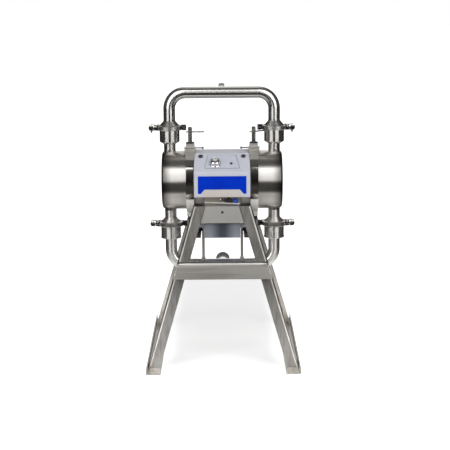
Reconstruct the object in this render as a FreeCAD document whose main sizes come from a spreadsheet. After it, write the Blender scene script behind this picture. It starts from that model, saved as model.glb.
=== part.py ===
import FreeCAD, Part
import math
import os

import Sketcher
from FreeCAD import Placement, Rotation, Vector

# Electric double-diaphragm pump on a splayed stand.
# Origin on the floor under the middle of the stand, +Z up, front towards -Y, pump axis along X.
# Lengths in millimetres, angles in degrees.

SIZES = {
    # Pump axis and manifolds
    "axis_height": 611.0,
    "manifold_rise": 308.5,
    "port_spread": 184.0,
    "tube_outer": 41.0,
    "tube_wall": 1.5,
    "bend_radius": 57.0,
    "chamber_outer": 70.0,
    "chamber_wall": 2.0,
    "reducer_length": 17.0,
    "outlet_clamp_rise": 186.0,
    "inlet_clamp_drop": 157.0,
    "outlet_chamber_depth": 48.0,
    "inlet_chamber_depth": 46.0,
    "chamber_taper": 9.0,
    "inlet_bead": 9.0,
    # Ferrules and rear ports
    "ferrule_outer": 81.0,
    "ferrule_rim": 3.0,
    "ferrule_neck_step": 1.5,
    "ferrule_slope": 20.0,
    "gasket_thickness": 2.0,
    "port_ferrule_outer": 50.5,
    "port_ferrule_rim": 2.85,
    "port_reach": 88.0,
    # Hinged clamps
    "clamp_outer": 93.0,
    "clamp_width": 15.0,
    "clamp_split": 3.0,
    "clamp_wall": 5.5,
    "clamp_chamfer": 1.5,
    "seat_gap": 0.2,
    "ear_thickness": 9.0,
    "ear_reach": 71.0,
    "ear_slot": 9.0,
    "ear_height": 19.0,
    "ear_root": 6.0,
    "swing_bolt": 8.0,
    "swing_bolt_eye": 11.0,
    "swing_bolt_reach": 62.0,
    "swing_bolt_length": 38.0,
    "hinge_reach": 53.0,
    "hinge_knuckle": 12.0,
    "hinge_lug_root": 9.0,
    "hinge_lug_inner": 5.0,
    "hinge_pin": 5.0,
    "nut_hub": 17.0,
    "nut_flange": 22.0,
    "nut_length": 15.0,
    "nut_wing_span": 30.0,
    "nut_flange_thickness": 2.0,
    "nut_taper": 1.5,
    "nut_wing_foot": 4.0,
    "nut_wing_shoulder": 7.0,
    "nut_wing_crown": 9.0,
    "nut_wing_thickness": 6.0,
    "turning_gap": 0.05,
    "free_gap": 0.3,
    # Fluid covers
    "cover_outer": 206.0,
    "cover_end": 211.0,
    "cover_corner": 12.0,
    "cover_wall": 3.0,
    "joint_plane": 112.0,
    "cover_flange_outer": 213.0,
    "cover_flange_width": 5.0,
    "cover_flange_taper": 4.0,
    # Ring clamps
    "ring_centre": 112.0,
    "ring_outer": 228.0,
    "ring_width": 27.0,
    "ring_wall": 5.0,
    "ring_flare_width": 44.0,
    "ring_flare_angle": 58.0,
    "ring_flare_thickness": 2.5,
    "jaw_top": 122.0,
    "jaw_width": 30.0,
    "jaw_half_depth": 21.0,
    "jaw_split": 4.0,
    "jaw_shoulder": 115.5,
    "jaw_root": 8.0,
    "jaw_sink": 2.0,
    "closure_height": 8.0,
    "closure_half_depth": 25.0,
    "stop_washer": 30.0,
    "stop_washer_thickness": 3.2,
    "handle_stem": 14.0,
    "handle_top": 188.0,
    "handle_screw": 8.0,
    "tommy_bar": 5.0,
    "tommy_bar_length": 64.0,
    "tommy_bar_rise": 170.0,
    "tommy_bar_offset_left": 18.0,
    "tommy_bar_offset_right": 14.0,
    "tommy_bar_turn_right": 35.0,
    "lock_pin": 5.0,
    "lock_pin_height": 113.0,
    "lock_head_step": 2.0,
    "lock_head_edge": 1.5,
    "lock_head_length": 6.0,
    "lock_pin_overhang": 4.0,
    "lock_pin_end": 64.0,
    "ring_hinge_drop": 123.0,
    "ring_hinge_pin": 8.0,
    "ring_hinge_lug": 9.0,
    "ring_lug_inner": 10.0,
    "tongue_thickness": 5.0,
    "tongue_head": 29.0,
    "tongue_tip": 12.0,
    # Housing
    "housing_half_width": 97.0,
    "housing_half_depth": 130.0,
    "housing_bottom": -41.0,
    "panel_foot": 46.5,
    "panel_head": 101.0,
    "roof_half_depth": 52.0,
    "housing_round": 6.0,
    "drum_outer": 200.0,
    "drive_bore": 184.0,
    "stator_bore_half": 62.0,
    "shoulder_bore": 172.0,
    "lower_half_width": 62.0,
    "lower_half_depth": 100.0,
    "lower_bottom": -191.0,
    "lower_wall": 8.0,
    "foot_thickness": 8.0,
    "foot_reach": 99.0,
    "foot_length": 34.0,
    "foot_spacing": 150.0,
    # Control face
    "panel_top_half": 47.0,
    "panel_bottom_half": 60.0,
    "panel_height": 66.0,
    "panel_thickness": 2.0,
    "panel_seat": 2.0,
    "panel_groove": 2.5,
    "panel_corner": 5.0,
    "panel_centre_rise": 4.0,
    "knob_offset": 24.0,
    "knob_outer": 40.0,
    "knob_skirt": 4.0,
    "knob_cap": 35.0,
    "knob_height": 20.0,
    "knob_draft": 0.5,
    "knob_edge": 1.5,
    "knob_mark": 1.6,
    "knob_mark_depth": 1.0,
    "knob_spindle": 6.0,
    "spindle_spare": 2.0,
    "knob_spindle_depth": 12.0,
    "knob_rise": -8.0,
    "indicator_offset": 32.0,
    "indicator_outer": 9.0,
    "indicator_proud": 3.0,
    "lens_edge": 1.5,
    "screw_offset": 74.5,
    "screw_rise": 32.0,
    "screw_head": 14.0,
    "screw_head_height": 5.0,
    "screw_socket_floor": 2.0,
    "screw_recess": 19.0,
    "screw_recess_depth": 3.0,
    # Label plate
    "label_half_width": 83.5,
    "label_top": 32.0,
    "label_bottom": -29.0,
    "label_arch_top": -14.0,
    "label_arch_half": 61.0,
    "label_arch_slope": 13.0,
    "label_thickness": 1.2,
    # Connectors in the recess under the housing front
    "connector_drop": -58.0,
    "signal_offset": 1.0,
    "signal_outer": 16.0,
    "power_offset": 23.0,
    "power_outer": 22.0,
    "capped_offset": 46.0,
    "capped_outer": 17.0,
    "connector_length": 17.0,
    "connector_collar": 3.0,
    "collar_step": 0.5,
    "signal_waist": 1.5,
    "signal_nose": 1.0,
    "power_waist": 2.0,
    "power_nose": 2.0,
    "capped_waist": 1.0,
    "capped_nose": 2.5,
    "guard_wire": 5.0,
    "guard_half_span": 62.0,
    "guard_drop": -63.0,
    "guard_tilt": 3.0,
    "guard_reach": 22.0,
    "guard_bend": 9.0,
    # Drive
    "bearing_plate_thickness": 15.0,
    "bearing_outer": 66.0,
    "bearing_width": 11.0,
    "bearing_lip": 50.0,
    "rotor_hub": 38.0,
    "rotor_outer": 116.0,
    "rotor_half_length": 38.0,
    "rotor_gap": 1.0,
    "shaft_overhang": 1.0,
    "stator_outer": 171.0,
    "stator_half_length": 42.0,
    "drive_screw": 24.0,
    "drive_nut_half_length": 28.0,
    "screw_relief": 2.0,
    "plate_outer": 90.0,
    "inner_plate_thickness": 6.0,
    "outer_plate_thickness": 9.0,
    "diaphragm_thickness": 3.0,
    "diaphragm_roll": 29.3,
    "diaphragm_roll_inner": 50.0,
    "diaphragm_roll_outer": 88.0,
    "diaphragm_outer": 211.0,
    # Edges used on several pieces
    "chamfer": 3.0,
    "edge": 1.0,
    # Check valves
    "ball_outer": 44.0,
    "seat_bore": 34.0,
    "seat_height": 6.0,
    "ball_lift": 7.0,
    "cage_rib": 3.5,
    "cage_ring": 3.0,
    # Stand; its tops are measured from the pump axis, so it grows with axis_height
    "leg_top": -66.0,
    "leg_top_half": 99.0,
    "leg_foot_half": 259.0,
    "leg_top_depth": 170.0,
    "leg_foot_inset": 62.0,
    "leg_side": 40.0,
    "sheet": 3.0,
    "leg_bend": 8.0,
    "rail_half_length": 342.0,
    "rail_outer": 262.0,
    "rail_width": 50.0,
    "rail_lip": 20.0,
    "rail_thickness": 4.0,
    "anchor_inset": 32.0,
    "anchor_hole": 11.0,
    "crossbar_bottom": 309.0,
    "crossbar_height": 51.0,
    "crossbar_depth": 38.0,
    "top_plate_bottom": -122.0,
    "top_plate_shelf": 30.0,
    "top_plate_ease": 2.2,
    "top_plate_hole": 9.0,
    "top_plate_hole_drop": 20.0,
    "mount_rail_inner": 74.0,
    "mount_rail_top": -169.0,
    "rubber_height": 14.0,
    "mount_rail_lip": 25.0,
    "rubber_outer": 30.0,
    "rubber_waist": 3.0,
    "rubber_lip": 3.0,
    "mount_bolt": 8.0,
    "mount_bolt_head": 13.0,
    "mount_bolt_head_height": 6.0,
    "bolt_end": 2.0,
    "mount_centre": 84.0,
    "hanger_width": 10.0,
    "hanger_depth": 4.0,
    "hanger_top": -141.0,
    "hanger_foot_width": 14.0,
    "hanger_foot_height": 6.0,
}

doc = FreeCAD.newDocument("DiaphragmPump")


class Size:
    """A length that keeps its number and the sheet expression it comes from."""

    def __init__(self, value, text=None):
        self.value = float(value)
        self.text = text if text else "(%r)" % float(value)

    def mixed(self, other, sign, value):
        return Size(value, "(%s %s %s)" % (self.text, sign, other.text))

    def __add__(self, other):
        other = as_size(other)
        return self.mixed(other, "+", self.value + other.value)

    def __radd__(self, other):
        return as_size(other) + self

    def __sub__(self, other):
        other = as_size(other)
        return self.mixed(other, "-", self.value - other.value)

    def __rsub__(self, other):
        return as_size(other) - self

    def __mul__(self, other):
        other = as_size(other)
        return self.mixed(other, "*", self.value * other.value)

    def __rmul__(self, other):
        return as_size(other) * self

    def __truediv__(self, other):
        other = as_size(other)
        return self.mixed(other, "/", self.value / other.value)

    def __neg__(self):
        return Size(-self.value, "(-1 * %s)" % self.text)


def as_size(item):
    return item if isinstance(item, Size) else Size(item)


def root(item):
    return Size(math.sqrt(item.value), "sqrt(%s)" % item.text)


def sine(angle):
    return Size(math.sin(math.radians(angle.value)), "sin(%s)" % angle.text)


def cosine(angle):
    return Size(math.cos(math.radians(angle.value)), "cos(%s)" % angle.text)


def tangent(angle):
    return Size(math.tan(math.radians(angle.value)), "tan(%s)" % angle.text)


class Sheet:
    """The driving dimensions, each a Size bound to its spreadsheet cell."""

    def __init__(self, table):
        cells = doc.addObject("Spreadsheet::Sheet", "Sizes")
        for row, (name, value) in enumerate(table.items(), start=1):
            cells.set("A%d" % row, name)
            cells.set("B%d" % row, str(value))
            cells.setAlias("B%d" % row, name)
            setattr(self, name, Size(value, "Sizes.%s" % name))


size = Sheet(SIZES)
doc.recompute()

nodes = {}


def keep(name, item):
    """Name an object as one sub-part of the pump."""
    item.Label = name
    nodes[name] = item
    return item


def bind(item, name, value):
    item.setExpression(name, as_size(value).text)


def new_body(name):
    return doc.addObject("PartDesign::Body", name)


def place(item, x=0, y=0, z=0, rotation=None):
    """Put a finished object at a bound place, turned by a fixed rotation where one is given."""
    item.Placement = Placement(
        Vector(as_size(x).value, as_size(y).value, as_size(z).value), rotation or Rotation()
    )
    for axis, value in (("x", x), ("y", y), ("z", z)):
        if isinstance(value, Size):
            bind(item, ".Placement.Base." + axis, value)
    return item


def new_sketch(body, role, offset=0):
    sketch = body.newObject("Sketcher::SketchObject", body.Name + "Sketch")
    for plane in body.Origin.OriginFeatures:
        if plane.Role == role:
            sketch.AttachmentSupport = [(plane, "")]
    sketch.MapMode = "FlatFace"
    sketch.AttachmentOffset = Placement(Vector(0, 0, as_size(offset).value), Rotation())
    bind(sketch, ".AttachmentOffset.Base.z", offset)
    return sketch


def fix_point(sketch, geometry, position, x, y):
    for kind, value in (("DistanceX", as_size(x)), ("DistanceY", as_size(y))):
        index = sketch.addConstraint(
            Sketcher.Constraint(kind, -1, 1, geometry, position, value.value)
        )
        bind(sketch, "Constraints[%d]" % index, value)


def draw_edge(sketch, start, end, bulge):
    """Draw one edge; a bulge is an arc radius, positive where the path turns left."""
    first = Vector(start[0].value, start[1].value, 0)
    last = Vector(end[0].value, end[1].value, 0)
    if bulge is None:
        return sketch.addGeometry(Part.LineSegment(first, last), False), 1, 2
    radius = abs(bulge.value)
    chord = last - first
    turn = 1 if bulge.value > 0 else -1
    inward = Vector(-chord.y, chord.x, 0).normalize() * turn
    rise = math.sqrt(max(radius ** 2 - (chord.Length / 2) ** 2, 0))
    centre = (first + last) * 0.5 + inward * rise
    begin = math.atan2(first.y - centre.y, first.x - centre.x)
    finish = math.atan2(last.y - centre.y, last.x - centre.x)
    circle = Part.Circle(centre, Vector(0, 0, 1), radius)
    if turn > 0:
        edge = sketch.addGeometry(Part.ArcOfCircle(circle, begin, finish), False)
        ends = (1, 2)
    else:
        edge = sketch.addGeometry(Part.ArcOfCircle(circle, finish, begin), False)
        ends = (2, 1)
    if rise > radius / 1000:
        index = sketch.addConstraint(Sketcher.Constraint("Radius", edge, radius))
        bind(sketch, "Constraints[%d]" % index, bulge if turn > 0 else -bulge)
    else:
        level = 0 if abs(chord.x) < abs(chord.y) else 1
        kind = "DistanceY" if level else "DistanceX"
        middle = (start[level] + end[level]) / 2
        index = sketch.addConstraint(Sketcher.Constraint(kind, -1, 1, edge, 3, middle.value))
        bind(sketch, "Constraints[%d]" % index, middle)
    return edge, ends[0], ends[1]


def draw_path(sketch, corners, closed=True):
    """Draw lines and arcs through corners (x, y) or (x, y, bulge to the next corner)."""
    points = [(as_size(corner[0]), as_size(corner[1])) for corner in corners]
    bulges = [as_size(corner[2]) if len(corner) > 2 else None for corner in corners]
    count = len(points) if closed else len(points) - 1
    edges = []
    for index in range(count):
        after = (index + 1) % len(points)
        edges.append(draw_edge(sketch, points[index], points[after], bulges[index]))
    for index, (edge, start, end) in enumerate(edges):
        fix_point(sketch, edge, start, *points[index])
        if index + 1 < len(edges):
            following = edges[index + 1]
        elif closed:
            following = edges[0]
        else:
            fix_point(sketch, edge, end, *points[-1])
            continue
        sketch.addConstraint(
            Sketcher.Constraint("Coincident", edge, end, following[0], following[1])
        )


def draw_circle(sketch, x, y, diameter):
    x, y, diameter = as_size(x), as_size(y), as_size(diameter)
    circle = Part.Circle(Vector(x.value, y.value, 0), Vector(0, 0, 1), diameter.value / 2)
    edge = sketch.addGeometry(circle, False)
    fix_point(sketch, edge, 3, x, y)
    index = sketch.addConstraint(Sketcher.Constraint("Radius", edge, diameter.value / 2))
    bind(sketch, "Constraints[%d]" % index, diameter / 2)


PLANES = {"x": "YZ_Plane", "y": "XZ_Plane", "z": "XY_Plane"}


def extrude(body, along, low, high, outlines=(), circles=(), cut=False):
    """Pad, or pocket, outlines and circles from low to high along one body axis."""
    low, high = as_size(low), as_size(high)
    if along == "y":
        start = -low if cut else -high
    else:
        start = high if cut else low
    sketch = new_sketch(body, PLANES[along], start)
    for outline in outlines:
        draw_path(sketch, outline)
    for circle in circles:
        draw_circle(sketch, *circle)
    kind = "PartDesign::Pocket" if cut else "PartDesign::Pad"
    feature = body.newObject(kind, body.Name + ("Pocket" if cut else "Pad"))
    feature.Profile = sketch
    bind(feature, "Length", high - low)
    body.Tip = feature
    return feature


def revolve(body, along, profile, at=(0, 0), cut=False, angle=360, flip=False):
    """Turn a profile of (place along the axis, radius) corners about an axis of the body."""
    role = "YZ_Plane" if along == "y" else "XZ_Plane"
    first, second = as_size(at[0]), as_size(at[1])
    if along == "y":
        sketch = new_sketch(body, role, first)
    elif along == "x":
        sketch = new_sketch(body, role, -first)
    else:
        sketch = new_sketch(body, role, -second)
    corners = []
    for corner in profile:
        place_along, radius = as_size(corner[0]), as_size(corner[1])
        if along == "z":
            point = [first + radius, place_along]
            bulge = [-as_size(corner[2])] if len(corner) > 2 else []
        else:
            point = [place_along, second + radius]
            bulge = [as_size(corner[2])] if len(corner) > 2 else []
        corners.append(tuple(point + bulge))
    axis_x, axis_y = (first, Size(0)) if along == "z" else (Size(0), second)
    tip = Vector(0, AXIS_LINE, 0) if along == "z" else Vector(AXIS_LINE, 0, 0)
    base = Vector(axis_x.value, axis_y.value, 0)
    line = sketch.addGeometry(Part.LineSegment(base, base + tip), True)
    fix_point(sketch, line, 1, axis_x, axis_y)
    fix_point(sketch, line, 2, axis_x + tip.x, axis_y + tip.y)
    draw_path(sketch, corners)
    kind = "PartDesign::Groove" if cut else "PartDesign::Revolution"
    feature = body.newObject(kind, body.Name + ("Groove" if cut else "Turn"))
    feature.Profile = sketch
    feature.ReferenceAxis = (sketch, ["Axis0"])
    bind(feature, "Angle", angle)
    feature.Reversed = flip
    body.Tip = feature
    return feature


def elbow(body, tube_x, centre_x, centre_z, diameter, up, cut=False):
    """Quarter bend from a vertical tube, above or below its start, towards the middle."""
    sketch = new_sketch(body, "XY_Plane", centre_z)
    draw_circle(sketch, tube_x, 0, diameter)
    line = sketch.addGeometry(
        Part.LineSegment(Vector(centre_x.value, 0, 0), Vector(centre_x.value, AXIS_LINE, 0)), True
    )
    fix_point(sketch, line, 1, centre_x, 0)
    fix_point(sketch, line, 2, centre_x, AXIS_LINE)
    kind = "PartDesign::Groove" if cut else "PartDesign::Revolution"
    feature = body.newObject(kind, body.Name + ("Groove" if cut else "Bend"))
    feature.Profile = sketch
    feature.ReferenceAxis = (sketch, ["Axis0"])
    feature.Angle = 90
    feature.Reversed = (tube_x.value > centre_x.value) == up
    body.Tip = feature
    return feature


def looped_tube(body, height, end_height, diameter, side, bend, cut=False):
    """U-shaped tube: a level run at a height, two bends, and two straight ends."""
    up = height.value > end_height.value
    turn = height - bend if up else height + bend
    run = side - bend
    low, high = (end_height, turn) if up else (turn, end_height)
    extrude(body, "x", -run, run, circles=[(0, height, diameter)], cut=cut)
    elbow(body, -side, -run, turn, diameter, up, cut)
    elbow(body, side, run, turn, diameter, up, cut)
    extrude(body, "z", low, high, circles=[(-side, 0, diameter), (side, 0, diameter)], cut=cut)


def loft(body, sections, role="XY_Plane"):
    """Join straight-sided sections, given as (offset, outline), by a ruled loft."""
    sketches = []
    for offset, outline in sections:
        sketch = new_sketch(body, role, offset)
        draw_path(sketch, outline)
        sketches.append(sketch)
    feature = body.newObject("PartDesign::AdditiveLoft", body.Name + "Loft")
    feature.Profile = sketches[0]
    feature.Sections = sketches[1:]
    feature.Ruled = True
    body.Tip = feature
    return feature


def mirrored(source, name, normal=Vector(1, 0, 0)):
    """The same piece on the other side of the pump."""
    mirror = doc.addObject("Part::Mirroring", name)
    mirror.Source = source
    mirror.Normal = normal
    return mirror


def group(name, items):
    """Identical small pieces, kept as one node of separate solids."""
    compound = doc.addObject("Part::Compound", name)
    compound.Links = items
    return keep(name, compound)


def box(x0, x1, y0, y1):
    return [(x0, y0), (x1, y0), (x1, y1), (x0, y1)]


# How far a cut runs past the face it opens, and how far two forms of one body overlap
PAST = 1.0
LAP = 0.5

# Drawn length of the line that a turned form spins about
AXIS_LINE = 10.0

# Derived places, shared by the pieces that meet there
tube_radius = size.tube_outer / 2
tube_bore = size.tube_outer - 2 * size.tube_wall
chamber_radius = size.chamber_outer / 2
chamber_bore_radius = chamber_radius - size.chamber_wall
ferrule_radius = size.ferrule_outer / 2
half_gasket = size.gasket_thickness / 2
outlet_joint = size.axis_height + size.outlet_clamp_rise
inlet_joint = size.axis_height - size.inlet_clamp_drop
outlet_height = size.axis_height + size.manifold_rise
inlet_height = size.axis_height - size.manifold_rise
ferrule_step_radius = chamber_radius + size.ferrule_neck_step
ferrule_back = size.ferrule_rim + (ferrule_radius - ferrule_step_radius) * tangent(size.ferrule_slope)
clamp_places = (("outlet", outlet_joint), ("inlet", inlet_joint))
stand_top = size.axis_height + size.leg_top
rail_top = size.axis_height + size.mount_rail_top
foot_height = rail_top + size.rubber_height
foot_places = (-size.foot_spacing / 2, size.foot_spacing / 2)


def leg_outer(height):
    """Outer half width of the legs at a height."""
    slope = (size.leg_foot_half - size.leg_top_half) / stand_top
    return size.leg_foot_half - slope * height


def leg_face(height):
    """Distance of the legs' outer faces in front of, or behind, the middle at a height."""
    foot = size.rail_half_length - size.leg_foot_inset
    slope = (foot - size.leg_top_depth) / stand_top
    return foot - slope * height


def ferrule_profile(face, down, neck_radius):
    """Solid half section of a ferrule from its face to its stub, which goes up or down."""
    step = size.ferrule_neck_step
    return [
        (face, 0),
        (face, ferrule_radius),
        (face + down * size.ferrule_rim, ferrule_radius),
        (face + down * ferrule_back, neck_radius + step),
        (face + down * (ferrule_back + step), neck_radius),
    ]


# Manifolds
def rear_port(body, height):
    """Stub and ferrule that face the rear at the middle of a manifold."""
    port_radius = size.port_ferrule_outer / 2
    back = size.port_ferrule_rim + (port_radius - tube_radius) * tangent(size.ferrule_slope)
    profile = [
        (0, 0),
        (0, tube_radius),
        (size.port_reach - back, tube_radius),
        (size.port_reach - size.port_ferrule_rim, port_radius),
        (size.port_reach, port_radius),
        (size.port_reach, 0),
    ]
    revolve(body, "y", profile, at=(0, height))


def rear_port_bore(body, height):
    extrude(body, "y", 0, size.port_reach, circles=[(0, height, tube_bore)], cut=True)


def build_outlet_manifold():
    body = new_body("outlet_manifold")
    side = size.port_spread
    face = outlet_joint + half_gasket
    foot = face + ferrule_back + size.ferrule_neck_step
    cone_top = foot + size.reducer_length
    looped_tube(body, outlet_height, cone_top, size.tube_outer, side, size.bend_radius)
    rear_port(body, outlet_height)
    for place_x in (-side, side):
        profile = ferrule_profile(face, 1, chamber_radius)
        profile += [(cone_top, tube_radius), (cone_top, 0)]
        revolve(body, "z", profile, at=(place_x, 0))
    looped_tube(body, outlet_height, cone_top, tube_bore, side, size.bend_radius, cut=True)
    for place_x in (-side, side):
        hollow = [
            (face, 0),
            (face, chamber_bore_radius),
            (foot, chamber_bore_radius),
            (cone_top, tube_bore / 2),
            (cone_top, 0),
        ]
        revolve(body, "z", hollow, at=(place_x, 0), cut=True)
    rear_port_bore(body, outlet_height)
    return keep("outlet_manifold", body)


def build_inlet_manifold():
    body = new_body("inlet_manifold")
    side = size.port_spread
    face = inlet_joint - half_gasket
    foot = face - size.inlet_chamber_depth
    bead_radius = chamber_radius + 1
    bead_foot = foot - size.inlet_bead
    looped_tube(body, inlet_height, bead_foot, size.tube_outer, side, size.bend_radius)
    rear_port(body, inlet_height)
    for place_x in (-side, side):
        profile = ferrule_profile(face, -1, chamber_radius)
        profile += [
            (foot, chamber_radius),
            (foot, bead_radius),
            (foot - size.inlet_bead / 2, bead_radius),
            (bead_foot, tube_radius),
            (bead_foot, 0),
        ]
        revolve(body, "z", profile, at=(place_x, 0))
    looped_tube(body, inlet_height, bead_foot, tube_bore, side, size.bend_radius, cut=True)
    for place_x in (-side, side):
        hollow = [
            (face, 0),
            (face, chamber_bore_radius),
            (foot, chamber_bore_radius),
            (foot, tube_bore / 2),
            (bead_foot, tube_bore / 2),
            (bead_foot, 0),
        ]
        revolve(body, "z", hollow, at=(place_x, 0), cut=True)
    rear_port_bore(body, inlet_height)
    return keep("inlet_manifold", body)


# Fluid covers, with the outlet chamber above and the flared inlet neck below
def build_fluid_covers():
    body = new_body("fluid_cover_right")
    axis = size.axis_height
    radius = size.cover_outer / 2
    wall = size.cover_wall
    corner = size.cover_corner
    flange = size.cover_flange_outer / 2
    joint = size.joint_plane + size.diaphragm_thickness / 2
    rim = joint + size.cover_flange_width
    outer = [
        (joint, 0),
        (joint, flange),
        (rim, flange),
        (rim + size.cover_flange_taper, radius),
        (size.cover_end - corner, radius, -corner),
        (size.cover_end, radius - corner),
        (size.cover_end, 0),
    ]
    revolve(body, "x", outer, at=(0, axis))
    side = size.port_spread
    face = outlet_joint - half_gasket
    foot = face - size.outlet_chamber_depth
    neck_end = axis + radius - corner
    chamber = ferrule_profile(face, -1, chamber_radius)
    chamber += [
        (foot, chamber_radius),
        (foot - size.chamber_taper, tube_radius),
        (neck_end, tube_radius),
        (neck_end, 0),
    ]
    revolve(body, "z", chamber, at=(side, 0))
    low_face = inlet_joint + half_gasket
    low_foot = low_face + ferrule_back
    flare = [
        (low_face, 0),
        (low_face, ferrule_radius),
        (low_face + size.ferrule_rim, ferrule_radius),
        (low_foot, ferrule_step_radius),
        (low_foot + size.reducer_length, tube_radius),
        (axis - radius + corner, tube_radius),
        (axis - radius + corner, 0),
    ]
    revolve(body, "z", flare, at=(side, 0))
    inner = [
        (joint, 0),
        (joint, radius - wall),
        (size.cover_end - corner, radius - wall, wall - corner),
        (size.cover_end - wall, radius - corner),
        (size.cover_end - wall, 0),
    ]
    revolve(body, "x", inner, at=(0, axis), cut=True)
    hollow = [
        (face, 0),
        (face, chamber_bore_radius),
        (foot, chamber_bore_radius),
        (foot, tube_bore / 2),
        (axis, tube_bore / 2),
        (axis, 0),
    ]
    revolve(body, "z", hollow, at=(side, 0), cut=True)
    low_hollow = [
        (low_face, 0),
        (low_face, chamber_bore_radius),
        (low_foot, chamber_bore_radius),
        (low_foot + size.reducer_length, tube_bore / 2),
        (axis, tube_bore / 2),
        (axis, 0),
    ]
    revolve(body, "z", low_hollow, at=(side, 0), cut=True)
    keep("fluid_cover_right", body)
    keep("fluid_cover_left", mirrored(body, "fluid_cover_left"))


# Joint gaskets between the ferrules
def build_gaskets():
    rings = []
    for name, height in clamp_places:
        body = new_body("gasket_" + name)
        section = [
            (-half_gasket, chamber_bore_radius),
            (-half_gasket, ferrule_radius - 1),
            (half_gasket, ferrule_radius - 1),
            (half_gasket, chamber_bore_radius),
        ]
        revolve(body, "z", section)
        place(body, x=size.port_spread, z=height)
        rings += [body, mirrored(body, "gasket_%s_left" % name)]
    group("joint_gaskets", rings)


# Hinged clamps: built about their own axis, nut side towards +X, front half towards -Y
def clamp_section():
    outer = size.clamp_outer / 2
    half = size.clamp_width / 2
    chamfer = size.clamp_chamfer
    bottom = outer - size.clamp_wall
    inner = chamber_radius + size.ferrule_neck_step + size.seat_gap
    slope = tangent(size.ferrule_slope)
    rim_half = half_gasket + size.ferrule_rim + size.seat_gap
    bottom_half = rim_half
    inner_half = rim_half + (ferrule_radius - inner) * slope
    return [
        (-half, inner),
        (-half, outer - chamfer),
        (chamfer - half, outer),
        (half - chamfer, outer),
        (half, outer - chamfer),
        (half, inner),
        (inner_half, inner),
        (bottom_half, ferrule_radius + size.seat_gap),
        (bottom_half, bottom),
        (-bottom_half, bottom),
        (-bottom_half, ferrule_radius + size.seat_gap),
        (-inner_half, inner),
    ]


def build_clamp_half(name, front):
    """Half ring with a slotted ear at the nut side and a knuckle at the hinge side."""
    body = new_body(name)
    outer = size.clamp_outer / 2
    half = size.clamp_width / 2
    tall = size.ear_height / 2
    gap = size.clamp_split / 2
    near = outer - size.clamp_wall / 2
    back = gap + size.ear_thickness
    turn = -1 if front else 1
    hinge = size.hinge_reach
    knuckle = size.hinge_knuckle / 2
    slot = size.ear_slot / 2
    bolt_x = size.swing_bolt_reach
    revolve(body, "z", clamp_section(), angle=180, flip=front)
    split = box(-outer - PAST, outer + PAST, -gap, gap)
    extrude(body, "z", -half, half, [split], cut=True)
    ear = [
        (near, turn * gap),
        (size.ear_reach, turn * gap),
        (size.ear_reach, turn * back),
        (bolt_x - size.nut_flange / 2 - PAST, turn * back),
        (near - size.ear_root, turn * (back + size.ear_root)),
    ]
    extrude(body, "z", -tall, tall, [ear])
    opening = [
        (bolt_x - slot, turn * (gap - PAST)),
        (size.ear_reach + PAST, turn * (gap - PAST)),
        (size.ear_reach + PAST, turn * (back + PAST)),
        (bolt_x - slot, turn * (back + PAST)),
    ]
    extrude(body, "z", -slot, slot, [opening], cut=True)
    lug = [
        (-near, turn * gap),
        (-near + size.clamp_wall / 2, turn * (gap + size.hinge_lug_root)),
        (-hinge, turn * knuckle, turn * knuckle),
        (-hinge, -turn * knuckle),
        (-outer - size.free_gap, -turn * knuckle),
        (-outer - size.free_gap, turn * gap),
    ]
    inner = size.hinge_lug_inner / 2
    if front:
        extrude(body, "z", -inner, inner, [lug])
    else:
        extrude(body, "z", inner + size.free_gap, tall, [lug])
        extrude(body, "z", -tall, -inner - size.free_gap, [lug])
    pin = size.hinge_pin + 2 * size.turning_gap
    extrude(body, "z", -tall, tall, circles=[(-hinge, 0, pin)], cut=True)
    return body


def build_clamps():
    """Four clamps, each of two halves, a hinge pin, a swing bolt and a wing nut."""
    halves = []
    pins = []
    bolts = []
    tall = size.ear_height / 2
    gap = size.clamp_split / 2
    bolt_x = size.swing_bolt_reach
    rear_seat = gap + size.ear_thickness
    for name, height in clamp_places:
        for front in (True, False):
            end = "front" if front else "rear"
            body = build_clamp_half("clamp_%s_%s" % (name, end), front)
            place(body, x=size.port_spread, z=height)
            halves += [body, mirrored(body, "clamp_%s_%s_left" % (name, end))]
        pin = new_body("clamp_pin_" + name)
        extrude(pin, "z", -tall - PAST, tall + PAST, circles=[(0, 0, size.hinge_pin)])
        place(pin, x=size.port_spread - size.hinge_reach, z=height)
        pins += [pin, mirrored(pin, "clamp_pin_%s_left" % name)]
        bolt = new_body("swing_bolt_" + name)
        shank = size.swing_bolt / 2
        tip = rear_seat - size.swing_bolt_length
        eye = rear_seat + size.swing_bolt_eye / 2
        revolve(bolt, "y", [
            (tip, 0),
            (tip, shank - 1),
            (tip + 1, shank),
            (eye, shank),
            (eye, 0),
        ])
        extrude(bolt, "z", -tall, tall, circles=[(0, eye, size.swing_bolt_eye)])
        place(bolt, x=size.port_spread + bolt_x, z=height)
        bolts += [bolt, mirrored(bolt, "swing_bolt_%s_left" % name)]
        build_wing_nuts(name, height, -rear_seat)
    group("clamp_halves", halves)
    group("clamp_hinge_pins", pins)
    group("swing_bolts", bolts)


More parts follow.
